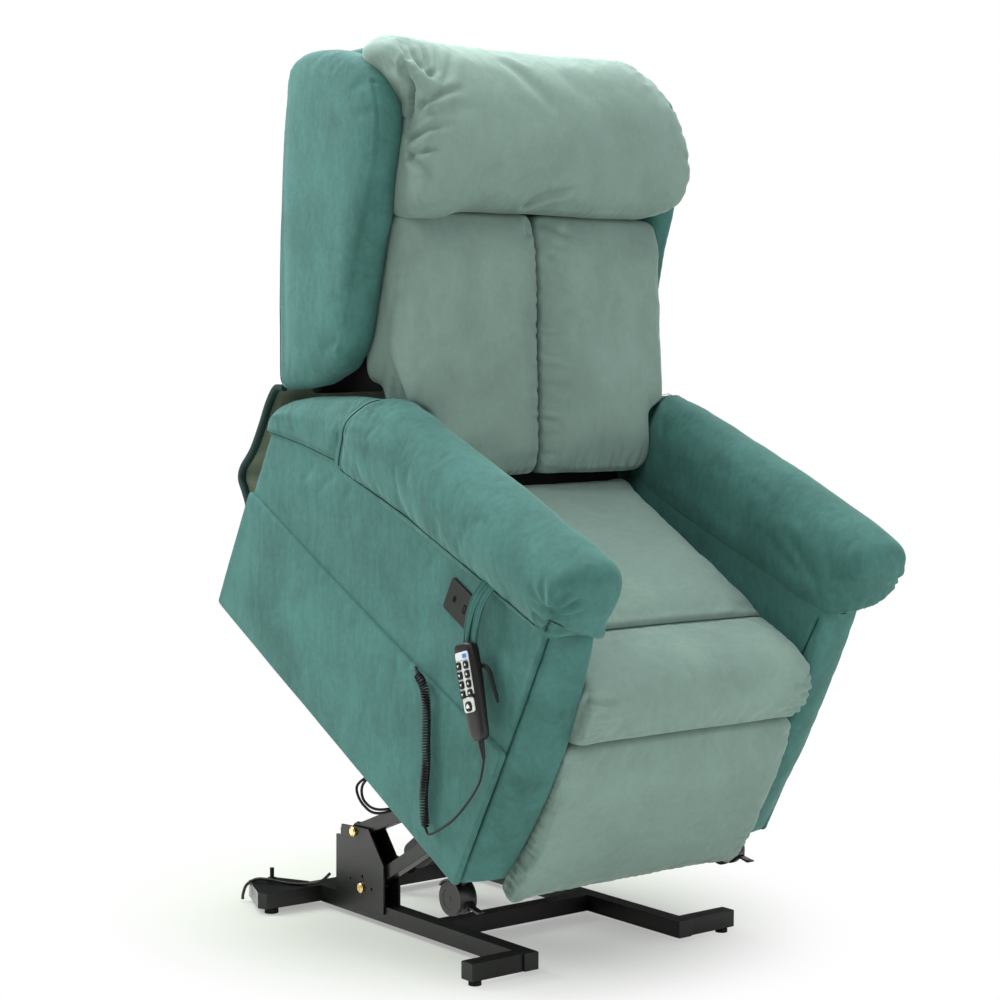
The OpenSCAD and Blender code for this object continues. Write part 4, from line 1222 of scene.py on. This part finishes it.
def make_legrest():
    v, f = slab(LEGREST_OUTLINE, -LEGREST_X, LEGREST_X, 0.018, passes=3, n=170)
    v[:, 0] *= 1 - 0.030 * ramp(v[:, 1], -0.030, -0.014)
    obj = remeshed("legrest_cushion_skin", (v, f), VOXEL * 0.9, 5)
    _, y, z = coords(obj).T
    puff(obj, (y > -0.016) | (z > 0.280), pressure=4.0, frames=12, reach=0.0060,
         shrink=-0.012)
    subdivide(obj)
    skin = Skin(obj)
    x, y, z = skin.co.T
    skin.disp += (ramp(-skin.normals[:, 1], 0.3, 0.8) * 0.005 * (1 - (x / 0.2545) ** 4)
                  * ramp(z, -0.02, 0.06) * ramp(-z, -0.27, -0.19))
    skin.ripple(7, seed=25.0, height=0.0016)
    skin.apply()
    # gathers along both ends: stronger low down, weaker on the left
    for way in (-1, 1):
        for z in scattered(-0.022, 0.290, 30):
            gain = 2.0 if z < 0.10 else 0.9
            if way > 0:
                gain *= 0.6
            skin.groove([(way * 0.2545, -0.012, z), (way * 0.250, -0.034, z + jitter(0.002)),
                         (way * (0.230 - rand(0, 0.026)), -0.051, z + jitter(0.005))],
                        depth=gain * rand(0.0024, 0.0042), width=0.0038, ridge=0.0008 * gain,
                        fade=(0, 0.6))
    # faint creases up from the bottom edge
    for x in scattered(-0.235, 0.47, 26):
        skin.groove([(x, -0.018, -0.028), (x + jitter(0.004), -0.040, -0.012),
                     (x, -0.050, rand(0.008, 0.025))],
                    depth=rand(0.0004, 0.0012), width=0.005, fade=(0, 0.7))
    skin.apply()
    rear = np.array([face.center.y > 0.003 and face.normal.y > 0.5
                     for face in obj.data.polygons])
    place(obj, [SAGE, BLACK_CLOTH_AND_SHADE], "legrest_panel", "sage_velvet", CHAIR, "legrest_cushion")
    obj.data.polygons.foreach_set("material_index", rear.astype(np.int32))


# ------------------------------------------------------------------ black sheets of painted shade
def make_shade_sheet(name, profile, thickness, half_width, body, matrix):
    """Sheet of black cloth across the chair with slight waves, put in a gap that is only in shade:
    painted shade.
    """
    line = resample(spline(profile, 10), n=60)
    t = tangents(line)
    normals = np.stack([t[:, 1], -t[:, 0]], 1)
    arch = np.sin(np.linspace(0, math.pi, len(line)))[:, None]
    rings = []
    for x in np.r_[-half_width, -half_width + 0.002,
                   np.linspace(-half_width + 0.01, half_width - 0.01, 40),
                   half_width - 0.002, half_width]:
        thick = thickness * (0.4 if abs(x) > half_width - 0.001 else 1.0)
        wave = (0.0009 * math.sin(x * 70.0) + 0.0006 * math.sin(x * 171.0)) * arch
        rings.append(ring_at(x, np.vstack([line + normals * (thick / 2 + wave),
                                           (line - normals * (thick / 2 - wave))[::-1]])))
    place(as_object(name, strip_loft(rings)), BLACK_CLOTH_AND_SHADE, body, "teal_velvet", matrix)


def make_wing_shade_sheet(side):
    """Thin black sheet at the foot of a wing, painted shade in the gap there."""
    v, f = slab([(0.066, 0.1465), (0.280, 0.1445), (0.288, 0.170), (0.286, 0.215),
                 (0.072, 0.215)], 0.2755, 0.2790, 0.0014, n=90)
    v[:, 0] += 0.0010 * np.sin(v[:, 1] * 60.0)
    shape = (v, f) if side > 0 else mirrored((v, f))
    place(as_object("wing_lining_" + SIDE_NAME[side], shape), BLACK_CLOTH_AND_SHADE, "backrest",
          "teal_velvet", BACK)


def make_shade_sheets():
    """Black sheets of painted shade behind the back cushions, in the wings and below the seat
    front.
    """
    make_shade_sheet("back_lining", [(0.0625, 0.700), (0.0590, 0.430), (0.0590, 0.200),
                                (0.0585, 0.040), (0.056, -0.010), (0.0515, -0.052)],
                thickness=0.0022, half_width=0.247, body="backrest", matrix=BACK)
    make_shade_sheet("back_lining_upper", [(0.0620, 0.700), (0.0585, 0.430), (0.0585, 0.200)],
                thickness=0.0022, half_width=0.2855, body="backrest", matrix=BACK)
    for side in (-1, 1):
        make_wing_shade_sheet(side)
    make_shade_sheet("front_lining", [(0.0110, 0.2860), (0.0112, 0.2740), (0.0114, 0.2600)],
                thickness=0.0016, half_width=0.2500, body="chair", matrix=CHAIR)


# ------------------------------------------------------------------ outer back, rear panel
BACK_PANEL_X = 0.2845  # half widths
REAR_PANEL_X = 0.2505
BACK_PANEL_OUTLINE = [  # y, z
    (0.060, 0.706), (0.205, 0.704), (0.232, 0.690), (0.284, 0.166), (0.300, 0.160),
    (0.306, 0.172), (0.258, 0.706), (0.240, 0.728), (0.200, 0.737), (0.075, 0.737),
    (0.058, 0.726)]
REAR_PANEL_OUTLINE = [(0.812, 0.004), (0.824, 0.004), (0.829, 0.020), (0.829, 0.250),
                      (0.824, 0.264), (0.812, 0.264)]  # y, z


def make_back_panel():
    obj = remeshed("back_panel_skin", slab(BACK_PANEL_OUTLINE, -BACK_PANEL_X, BACK_PANEL_X,
                                           0.006, n=320, mid=24), 0.0058, 4)
    skin = Skin(obj)
    x, y, z = skin.co.T
    skin.disp += (ramp(skin.normals[:, 1], 0.5, 0.9) * 0.006 * (1 - (x / BACK_PANEL_X) ** 2)
                  * ramp(z, 0.16, 0.26) * ramp(-z, -0.73, -0.60))
    skin.ripple(6, seed=31.0, height=0.0016)
    skin.apply()
    # two upright seams and a cross seam under the top roll
    lines = [[(x, 0.304, 0.175), (x, 0.285, 0.40), (x, 0.262, 0.66)] for x in (-0.14, 0.14)]
    lines.append([(-0.28, 0.262, 0.665), (-0.1, 0.264, 0.664), (0.1, 0.264, 0.664),
                  (0.28, 0.262, 0.665)])
    seams = [skin.groove(line, depth=0.004, width=0.0048, ridge=0.0014) for line in lines]
    for x in scattered(-0.26, 0.52, 22):
        skin.groove([(x, 0.303, 0.165), (x + jitter(0.01), 0.30, rand(0.19, 0.23))],
                    depth=rand(0.0006, 0.0016), width=0.006, fade=(0, 0.7))
    skin.apply()
    threads = [skin.thread(seam, knots=12, sink=0.0008, radius=0.001, step=0.004)
               for seam in seams]
    place(obj, TEAL, "backrest", "teal_velvet", BACK, "back_panel")
    place_threads("back_panel_seams", threads, THREAD, "backrest", "teal_velvet", BACK)


def make_rear_panel():
    obj = remeshed("rear_panel_skin", slab(REAR_PANEL_OUTLINE, -REAR_PANEL_X, REAR_PANEL_X,
                                           0.005, n=160, mid=24), 0.0055, 3)
    skin = Skin(obj)
    skin.disp += (ramp(skin.normals[:, 1], 0.5, 0.9) * 0.003
                  * (1 - (skin.co[:, 0] / 0.25) ** 2))
    skin.ripple(7, seed=33.0, height=0.0010)
    skin.apply()
    for x in scattered(-0.24, 0.48, 26):
        skin.groove([(x, 0.830, 0.258), (x, 0.831, rand(0.20, 0.235))],
                    depth=rand(0.0006, 0.0014), width=0.006, fade=(0, 0.7))
    skin.apply()
    place(obj, TEAL, "chair", "teal_velvet", CHAIR, "rear_panel")


# ------------------------------------------------------------------ rear flap
FLAP_X = 0.338  # half width
FLAP_PROFILE = [  # y, z from the top down
    (0.846, 0.452), (0.868, 0.440), (0.878, 0.405), (0.880, 0.352), (0.885, 0.300),
    (0.899, 0.255), (0.895, 0.232), (0.873, 0.218), (0.853, 0.204), (0.842, 0.186)]


def make_flap():
    """Cloth between the backrest and the chair, lined inside, with a thick hem at each side."""
    line = resample(spline(FLAP_PROFILE, 12), n=90)
    t = tangents(line)
    outward = np.stack([-t[:, 1], t[:, 0]], 1)  # towards the rear
    count = len(line)
    arch = np.sin(np.linspace(0, math.pi, count))[:, None]
    edge = np.array([0, 0.0008, 0.003, 0.008, 0.0105, 0.0115])  # stations from each side
    rings, hems = [], []
    for x in np.r_[edge - FLAP_X, np.linspace(-FLAP_X + 0.03, FLAP_X - 0.03, 56),
                   FLAP_X - edge[::-1]]:
        inward = FLAP_X - abs(x)
        thick = 0.0048 if inward > 0.011 else 0.0105
        thick *= 0.55 if inward < 0.0004 else (0.85 if inward < 0.001 else 1.0)
        wave = (0.0035 * math.sin(x * 21.0) + 0.0016 * math.sin(x * 53.0 + 1.0)) * min(
            1.0, inward / 0.06)
        waved = line + outward * (wave * arch)
        rings.append(ring_at(x, np.vstack([waved + outward * 0.0030,
                                           (waved + outward * (0.0030 - thick))[::-1]])))
        hems.append(inward <= 0.0108)
    obj = as_object("rear_flap_skin", strip_loft(rings))
    ring_size = 2 * count
    index = np.full(len(obj.data.polygons), 2, np.int32)
    for i in range(len(rings) - 1):
        if not (hems[i] or hems[i + 1]):
            start = i * ring_size
            index[start : start + count - 1] = 0
            index[start + count : start + ring_size - 1] = 1
    set_coords(obj, moved(coords(obj), CHAIR))
    # index 2, the hem edges, gets the darker teal of painted shade
    for material in (TEAL, LINER, SHADED_HEM):
        obj.data.materials.append(material)
    obj.data.polygons.foreach_set("material_index", index)
    modifier = obj.modifiers.new("w", "WEIGHTED_NORMAL")
    modifier.keep_sharp = True
    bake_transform(obj)
    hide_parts("rear_flap")


# ------------------------------------------------------------------ handset
# handset frame: z along the case away from its cable; the keys face -x, outwards
KEY_ROWS = [0.052, 0.037, 0.022, 0.007]  # z
KEY_Y = 0.0095
CASE_WIDTH = ([-0.068, -0.055, -0.03, 0.02, 0.06, 0.087],  # z, half width along y
              [0.0165, 0.0190, 0.0205, 0.0240, 0.0255, 0.0235])
CASE_DEPTH = ([-0.068, -0.03, 0.02, 0.087],  # z, half depth along x
              [0.0085, 0.0100, 0.0112, 0.0108])


def flat_part(name, shapes, material, slot, matrix, replaces=None):
    """Flat-shaded plastic part on the chair."""
    place(as_object(name, merge(shapes), smooth=False), material, "chair", slot, matrix,
          replaces)


def make_case():
    """Long rounded case, slimmer towards the cable, with a ribbed cable sleeve."""
    a = around(56)
    across, along = (signed_power(wave, 2 / 3.6) for wave in (np.cos(a), np.sin(a)))
    rings = []
    for z in np.r_[np.linspace(-0.068, -0.056, 7), np.linspace(-0.05, 0.074, 26),
                   np.linspace(0.077, 0.087, 9)]:
        k = 0.45 + 0.55 * quarter(min(z + 0.068, 0.087 - z), 0.010)
        rings.append(np.column_stack([across * np.interp(z, *CASE_DEPTH) * (0.55 + 0.45 * k),
                                      along * np.interp(z, *CASE_WIDTH) * k,
                                      np.full(56, z)]))
    a = around(20)
    sleeve = []
    for i, z in enumerate(np.linspace(-0.066, -0.098, 23)):
        r = np.interp(z, [-0.098, -0.066], [0.0030, 0.0062]) + (0.0008 if i % 3 == 1 else 0.0)
        sleeve.append(np.column_stack([r * np.cos(a) * 0.9, r * np.sin(a), np.full(20, z)]))
    obj = as_object("handset_case", merge([ring_loft(rings), ring_loft(sleeve)]))
    place(obj, CASE, "chair", "handset_plastic", HANDSET, "handset_body")


def make_keypad():
    """White membrane in two fields, a blue window and a dark line above the keys."""
    levels = [(-0.0100, 0.0), (-0.0117, 0.0), (-0.0120, 0.0004), (-0.0120, 0.0012)]
    flat_part("keypad_membrane",
              [prism(rounded_rect(0.0328, 0.0690, 0.004, y=-0.0008, z=0.0385), levels),
               prism(rounded_rect(0.0270, 0.0240, 0.005, z=-0.0105), levels)],
              WHITE, "handset_plastic", HANDSET)
    flat_part("keypad_display",
              [prism(rounded_rect(0.0105, 0.0070, 0.0015, y=-0.0085, z=0.0663),
                     [(-0.0110, 0), (-0.0123, 0), (-0.0125, 0.0003)])],
              BLUE, "handset_plastic", HANDSET)
    flat_part("keypad_lines",
              [prism(rounded_rect(0.0300, 0.0006, 0.0002, z=0.0598, n=3),
                     [(-0.0110, 0), (-0.01215, 0)])],
              KEY, "handset_plastic", HANDSET)


def key_glyph(i, y, z):
    """Arrow by turns up and down on the paired keys, a house shape on the last."""
    if i < 8:
        up = 1 if i % 2 == 0 else -1
        outline = [(y - 0.0026, z - up * 0.0014), (y + 0.0026, z - up * 0.0014),
                   (y, z + up * 0.0026)]
        return resample(outline, n=18, closed=True)
    outline = [(y - 0.0042, z - 0.0030), (y + 0.0042, z - 0.0030), (y + 0.0042, z + 0.0004),
               (y, z + 0.0046), (y - 0.0042, z + 0.0004)]
    return resample(outline, n=30, closed=True)


def make_keys():
    dome = [(-0.0080, 1.0), (-0.0128, 1.0), (-0.0136, 0.95), (-0.0141, 0.82),
            (-0.0143, 0.55), (-0.0144, 0.2)]  # x, share of the radius
    a = around(40)
    centres = [(y, z) for z in KEY_ROWS for y in (-KEY_Y, KEY_Y)] + [(0.0, -0.013)]
    for i, (y, z) in enumerate(centres):
        radius, squareness = (0.0064, 0.5) if i < 8 else (0.0080, 0.7)
        across, along = (signed_power(wave, squareness) for wave in (np.cos(a), np.sin(a)))
        cap = ring_loft([np.column_stack([np.full(40, x), y + radius * share * across,
                                          z + radius * share * along]) for x, share in dome])
        glyph = prism(key_glyph(i, y, z), [(-0.0138, 0.0), (-0.01475, 0.0), (-0.0149, 0.0002)])
        obj = as_object("key_%d_cap" % (i + 1), merge([cap, glyph]))
        place(obj, [KEY, GLYPH], "key_%d_body" % (i + 1), "key_plastic", HANDSET,
              "key_%d" % (i + 1))
        in_glyph = np.arange(len(obj.data.polygons)) >= len(cap[1])
        obj.data.polygons.foreach_set("material_index", in_glyph.astype(np.int32))
        obj.data.polygons.foreach_set("use_smooth", ~in_glyph)


def make_hook():
    """Tapered wire hook behind the handset."""
    line = spline([(-0.3680, 0.112, 0.358), (-0.3660, 0.100, 0.368), (-0.3640, 0.090, 0.3735),
                   (-0.3620, 0.080, 0.371), (-0.3600, 0.066, 0.358), (-0.3590, 0.052, 0.346),
                   (-0.3585, 0.042, 0.337)], 12)
    line = moved(moved(line, CHAIR), np.linalg.inv(HANDSET))
    radii = np.linspace(0.0040, 0.0027, len(line))
    radii[-14:] = np.linspace(0.0034, 0.0019, 14)
    place(as_object("handset_hook", tube(line, radii, 12)), CASE, "chair", "handset_plastic",
          HANDSET)


STRANDS = [  # points, half width
    ([(-0.3530, 0.160, 0.488), (-0.3620, 0.160, 0.472), (-0.3700, 0.156, 0.448),
      (-0.3715, 0.149, 0.410), (-0.3700, 0.139, 0.380), (-0.3670, 0.127, 0.355),
      (-0.3600, 0.115, 0.346)], 0.0075),
    ([(-0.3530, 0.144, 0.490), (-0.3620, 0.143, 0.476), (-0.3700, 0.139, 0.452),
      (-0.3715, 0.131, 0.415), (-0.3690, 0.124, 0.385), (-0.3660, 0.116, 0.362),
      (-0.3600, 0.108, 0.350)], 0.0065)]


def make_strap():
    """Two strands of folded velvet from under the right pad to the hook."""
    a = around(28)
    cos, sin = np.cos(a), np.sin(a)
    fold = signed_power(sin, 0.8) * 0.0034 - 0.0014 * np.cos(2 * a) + 0.0007 * np.cos(6 * a)
    flat = np.array([1.0, 0, 0])
    shapes = []
    for points, half_width in STRANDS:
        line = resample(spline(points, 12), n=60)
        rings = []
        for i, tangent in enumerate(tangents(line)):
            sideways = unit(np.cross(tangent, flat))
            twist = 0.35 * math.sin(i / 60 * 3.2 + 1.2)
            u = sideways * math.cos(twist) + flat * math.sin(twist)
            w = -sideways * math.sin(twist) + flat * math.cos(twist)
            across = signed_power(cos, 0.75) * half_width * (1 - 0.25 * i / 60)
            rings.append(line[i] + np.outer(across, u) + np.outer(fold, w))
        shapes.append(ring_loft(rings))
    place(as_object("handset_strap_skin", merge(shapes)), TEAL, "chair", "teal_velvet",
          CHAIR, "handset_strap")


# ------------------------------------------------------------------ cables
COIL_TURNS = 58
COIL_R = 0.0060
COIL_PATH = [
    (-0.3625, 0.236, 0.262), (-0.3665, 0.226, 0.259), (-0.3665, 0.207, 0.252),
    (-0.3665, 0.185, 0.226), (-0.3665, 0.160, 0.178), (-0.3665, 0.142, 0.145),
    (-0.3665, 0.125, 0.100), (-0.3665, 0.106, 0.068), (-0.3665, 0.091, 0.050)]
COIL_TAIL = [
    (-0.3665, 0.091, 0.050), (-0.3660, 0.080, 0.048), (-0.3650, 0.062, 0.072),
    (-0.3650, 0.040, 0.110), (-0.3660, 0.022, 0.158), (-0.3690, 0.010, 0.205),
    (-0.3730, 0.0115, 0.240), (-0.3750, 0.0135, 0.252)]
COIL_HEAD = [(-0.3440, 0.262, 0.250), (-0.3560, 0.252, 0.258), (-0.3640, 0.242, 0.262),
             (-0.3665, 0.228, 0.2600)]
MAINS_PATH = [  # x, y from the base, z
    (-0.196, 0.262, 0.070), (-0.203, 0.284, 0.052), (-0.222, 0.314, 0.044),
    (-0.243, 0.345, 0.044), (-0.262, 0.374, 0.0475), (-0.274, 0.396, 0.0455),
    (-0.2835, 0.414, 0.033), (-0.2860, 0.423, 0.015), (-0.2860, 0.425, 0.004)]


def make_coiled_cord():
    """Coiled handset cord beside the right side panel, with its straight ends."""
    line = resample(spline(COIL_PATH, 16), n=1500)
    t = tangents(line)
    along = lengths(line)
    u = unit(np.cross(t, [1.0, 0, 0]))
    w = np.cross(t, u)
    phase = 2 * math.pi * COIL_TURNS * along / along[-1]
    radius = (COIL_R * smooth01(along / 0.012) * smooth01((along[-1] - along) / 0.008)
              + 0.0002)
    helix = line + u * (np.cos(phase) * radius)[:, None] + w * (np.sin(phase) * radius)[:, None]
    shape = merge([tube(helix, 0.00165, 7), tube(spline(COIL_TAIL, 14), 0.0021, 10),
                   tube(spline(COIL_HEAD, 10), 0.0022, 10)])
    place(as_object("coiled_cord", shape), RUBBER, "chair", "cable_rubber", CHAIR, "coil_cable")


def make_actuator_cables():
    """Two loops hanging between the chair and the lift arms."""
    loops = []
    for d in (0.0, 0.013):
        loops.append(tube(spline([
            (-0.085, 0.335, 0.095), (-0.150 - d, 0.350, 0.050 - d),
            (-0.215 - d, 0.362 + d, -0.020 - d), (-0.250, 0.382 + d, -0.072 - d),
            (-0.262, 0.388 + d, -0.102 - d), (-0.262, 0.368, -0.122 - 0.6 * d),
            (-0.246, 0.336, -0.117 - 0.6 * d), (-0.190, 0.305, -0.078),
            (-0.100, 0.288, -0.025)], 14), 0.0025, 10))
    obj = as_object("actuator_flex_cables", merge(loops))
    set_coords(obj, moved(coords(obj), CHAIR))
    obj.data.materials.append(RUBBER)
    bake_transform(obj)
    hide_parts("actuator_cables")


def make_mains_lead():
    line = spline([(x, BASE_Y + y, z) for x, y, z in MAINS_PATH], 14)
    place(as_object("mains_lead", tube(line, 0.0029, 12)), RUBBER, "root", "cable_rubber",
          replaces="mains_cable")


# ------------------------------------------------------------------ socket plate
SOCKET_FACE = -0.3530  # x, on the outer side of the right arm
PORT_Z = 0.4135
PORTS = [(0.190, 0.0150), (0.2195, 0.0110)]  # y, height
PORT_WIDTH = 0.0075
PORT_RIM = 0.0025  # how much wider and higher the rim is


def make_socket():
    flat_part("socket_plate_body",
              [prism(rounded_rect(0.0745, 0.0575, 0.0045, y=0.2045, z=0.413),
                     [(-0.3450, 0.0), (-0.3520, 0.0), (SOCKET_FACE, 0.0005),
                      (-0.3534, 0.0016)])],
              SOCKET, "dark_plastic", CHAIR, "socket_plate")
    # the ports are flat near-black patches: painted shade of the open sockets
    flat_part("socket_ports",
              [prism(rounded_rect(PORT_WIDTH, height, 0.0014, y=y, z=PORT_Z, n=5),
                     [(SOCKET_FACE, 0), (-0.3537, 0), (-0.3538, 0.0003)])
               for y, height in PORTS], PORT, "dark_plastic", CHAIR)
    rims = [prism(rounded_rect(PORT_WIDTH + PORT_RIM, height + PORT_RIM, 0.0020, y=y, z=PORT_Z,
                               n=6), [(SOCKET_FACE, 0), (-0.3535, 0), (-0.35365, 0.0003)])
            for y, height in PORTS]
    # upright bar in the front port
    rims.append(prism(rounded_rect(0.0022, 0.0090, 0.0003, y=0.1897, z=PORT_Z, n=3),
                      [(SOCKET_FACE, 0), (-0.35405, 0)]))
    flat_part("socket_port_rims", rims, SOCKET, "dark_plastic", CHAIR)


# ------------------------------------------------------------------ CAD pieces that stay
DRESSED = {  # name: material, bevel width
    "base_frame": (STEEL, 0.0016), "end_caps": (CAP, 0.0008),
    "levelling_feet": (FOOT, 0.0008), "lift_towers": (STEEL, 0.0006),
    "tower_pins": (BRASS, 0.0004), "upper_links": (STEEL, 0.0008),
    "lower_links": (STEEL, 0.0008), "lift_motor": (MOTOR, 0.0006),
    "lift_rod": (CHROME, 0.0004), "chair_frame": (STEEL, 0.0006),
    "seat_deck": (PLY, 0.0006), "control_box": (MOTOR, 0.0012),
    "recline_motor": (MOTOR, 0.0006), "recline_rod": (CHROME, 0.0004),
    "legrest_motor": (MOTOR, 0.0006), "legrest_rod": (CHROME, 0.0004),
    "legrest_rear_links": (LINK, 0.0005), "legrest_front_links": (LINK, 0.0005),
    "legrest_board": (PLY, 0.0006), "back_frame": (STAINED, 0.0008),
    "castor_housing_left": (CASTOR, 0.0006), "castor_housing_right": (CASTOR, 0.0006),
    "castor_wheels_left": (WHEEL, 0.0010), "castor_wheels_right": (WHEEL, 0.0010),
    "castor_brake_left": (CASTOR, 0.0004), "castor_brake_right": (CASTOR, 0.0004),
}


def dress(name, material, width):
    obj = frame["nodes"][name]
    obj.data.materials.clear()
    obj.data.materials.append(material)
    weld = obj.modifiers.new("weld", "WELD")
    weld.merge_threshold = 1e-5
    bevel = obj.modifiers.new("bevel", "BEVEL")
    bevel.width = width
    bevel.segments = 2
    bevel.limit_method = "ANGLE"
    bevel.angle_limit = math.radians(35)
    bevel.use_clamp_overlap = True


# ------------------------------------------------------------------ build
# the order matters: the random creases share one generator
make_seat()
for side in SIDES:
    make_back_cushion(side)
make_pillow()
for side in SIDES:
    make_wing(side)
for side in SIDES:
    make_arm_pad(side)
for side in SIDES:
    make_arm_body(side)
    make_side_panel(side)
make_legrest()
make_shade_sheets()
make_back_panel()
make_rear_panel()
make_flap()
make_case()
make_keypad()
make_keys()
make_hook()
make_strap()
make_coiled_cord()
make_actuator_cables()
make_mains_lead()
make_socket()
for name, (material, width) in DRESSED.items():
    dress(name, material, width)


# ------------------------------------------------------------------ floor, lights, camera
FLOOR_HALF = 12.0
FLOOR_Z = -0.0005
FLOOR_CENTRE_Y = BASE_Y + 0.10  # centre of the patch of painted shade


def floor_material():
    """The camera sees a lit grey-green patch around the base, its dark colour painted shade under
    the chair, fading to pure white; other rays see a pale floor.
    """
    material = bpy.data.materials.new("floor_white")
    material.use_nodes = True
    tree = material.node_tree
    tree.nodes.clear()
    output = node(tree, "ShaderNodeOutputMaterial")
    pale = node(tree, "ShaderNodeBsdfDiffuse", {"Color": (0.86, 0.875, 0.845, 1)})
    # painted shade: a dark grey-green floor colour near the base stands in for the chair's shadow
    # and green bounce light; real shadows fall on it as well
    painted_shade_patch = node(tree, "ShaderNodeBsdfDiffuse", {"Color": (0.305, 0.342, 0.282, 1)})
    white = node(tree, "ShaderNodeEmission", {"Color": (1, 1, 1, 1)})
    place_node = node(tree, "ShaderNodeTexCoord")
    mapping = node(tree, "ShaderNodeMapping", {
        "Location": (0.0, -FLOOR_CENTRE_Y, 0.0), "Scale": (1.0, 0.92, 1.0)})
    tree.links.new(place_node.outputs["Object"], mapping.inputs["Vector"])
    distance = node(tree, "ShaderNodeVectorMath", operation="LENGTH")
    tree.links.new(mapping.outputs[0], distance.inputs[0])
    fade = node(tree, "ShaderNodeMapRange", {
        "From Min": 0.25, "From Max": 0.75, "To Min": 0.36, "To Max": 1.0},
        interpolation_type="SMOOTHERSTEP")
    tree.links.new(distance.outputs["Value"], fade.inputs["Value"])
    rays = node(tree, "ShaderNodeLightPath")
    seen = mix_shaders(tree, fade.outputs[0], painted_shade_patch.outputs[0], white.outputs[0])
    both = mix_shaders(tree, rays.outputs["Is Camera Ray"], pale.outputs[0], seen)
    tree.links.new(both, output.inputs[0])
    return material


def make_floor():
    corners = [(x * FLOOR_HALF, y * FLOOR_HALF, FLOOR_Z)
               for x, y in ((-1, -1), (1, -1), (1, 1), (-1, 1))]
    obj = as_object("floor_plane", (corners, [(0, 1, 2, 3)]), smooth=False)
    obj.data.materials.append(floor_material())


def area_light(name, location, aim_z, size, energy, color=(1, 1, 1)):
    """Square light aimed at a point on the z axis."""
    light = bpy.data.lights.new(name, "AREA")
    light.shape = "RECTANGLE"
    light.size = light.size_y = size
    light.energy = energy
    light.color = color
    obj = bpy.data.objects.new(name, light)
    scene.collection.objects.link(obj)
    obj.location = location
    obj.rotation_mode = "QUATERNION"
    aim = Vector((0, 0, aim_z)) - Vector(location)
    obj.rotation_quaternion = aim.to_track_quat("-Z", "Y")
    obj.visible_camera = False


def make_world():
    """White to the camera, a faint cool fill to other rays."""
    world = bpy.data.worlds.new("studio")
    scene.world = world
    world.use_nodes = True
    tree = world.node_tree
    tree.nodes.clear()
    output = node(tree, "ShaderNodeOutputWorld")
    fill = node(tree, "ShaderNodeBackground", {0: (0.93, 0.97, 1.0, 1), 1: 0.05})
    backdrop = node(tree, "ShaderNodeBackground", {0: (1, 1, 1, 1), 1: 1.0})
    rays = node(tree, "ShaderNodeLightPath")
    mixed = mix_shaders(tree, rays.outputs["Is Camera Ray"], fill.outputs[0],
                        backdrop.outputs[0])
    tree.links.new(mixed, output.inputs[0])


def make_camera(location, azimuth, pitch, roll, lens):
    """Angles in degrees: azimuth from +y towards +x, pitch downwards."""
    camera = bpy.data.cameras.new("cam")
    camera.sensor_width = 36.0
    camera.lens = lens
    camera.clip_start = 0.05
    camera.clip_end = 60
    obj = bpy.data.objects.new("cam", camera)
    scene.collection.objects.link(obj)
    azimuth, pitch, roll = (math.radians(a) for a in (azimuth, pitch, roll))
    ahead = Vector((math.sin(azimuth) * math.cos(pitch), math.cos(azimuth) * math.cos(pitch),
                    -math.sin(pitch)))
    level = Vector((math.cos(azimuth), -math.sin(azimuth), 0))
    upright = level.cross(ahead)
    right = level * math.cos(roll) + upright * math.sin(roll)
    up = -level * math.sin(roll) + upright * math.cos(roll)
    rows = [(right[i], up[i], -ahead[i], location[i]) for i in range(3)]
    obj.matrix_world = Matrix((*rows, (0, 0, 0, 1)))
    scene.camera = obj


make_floor()
area_light("key_light", (-2.6, -1.9, 3.0), aim_z=0.75, size=2.2, energy=92,
           color=(1.0, 0.995, 0.98))
area_light("top_light", (0.2, 0.5, 3.6), aim_z=0.6, size=2.6, energy=228)
area_light("front_fill", (0.8, -3.6, 1.4), aim_z=0.7, size=2.4, energy=64,
           color=(0.985, 1.0, 1.0))
area_light("right_rim", (2.8, 1.0, 2.2), aim_z=0.8, size=1.6, energy=28)
area_light("left_side", (-3.6, 0.8, 1.6), aim_z=0.8, size=2.0, energy=6)
area_light("back_left", (-1.8, 2.4, 3.0), aim_z=0.8, size=2.0, energy=235)
area_light("right_front", (2.4, -2.4, 0.9), aim_z=0.8, size=2.0, energy=32)
make_world()
make_camera((-2.4935, -3.1841 + BASE_Y, 1.0424), azimuth=38.07, pitch=3.77, roll=0.14,
            lens=80.65)
scene.view_settings.view_transform = "Standard"
scene.view_settings.look = "None"

bpy.context.view_layer.update()
write_size()
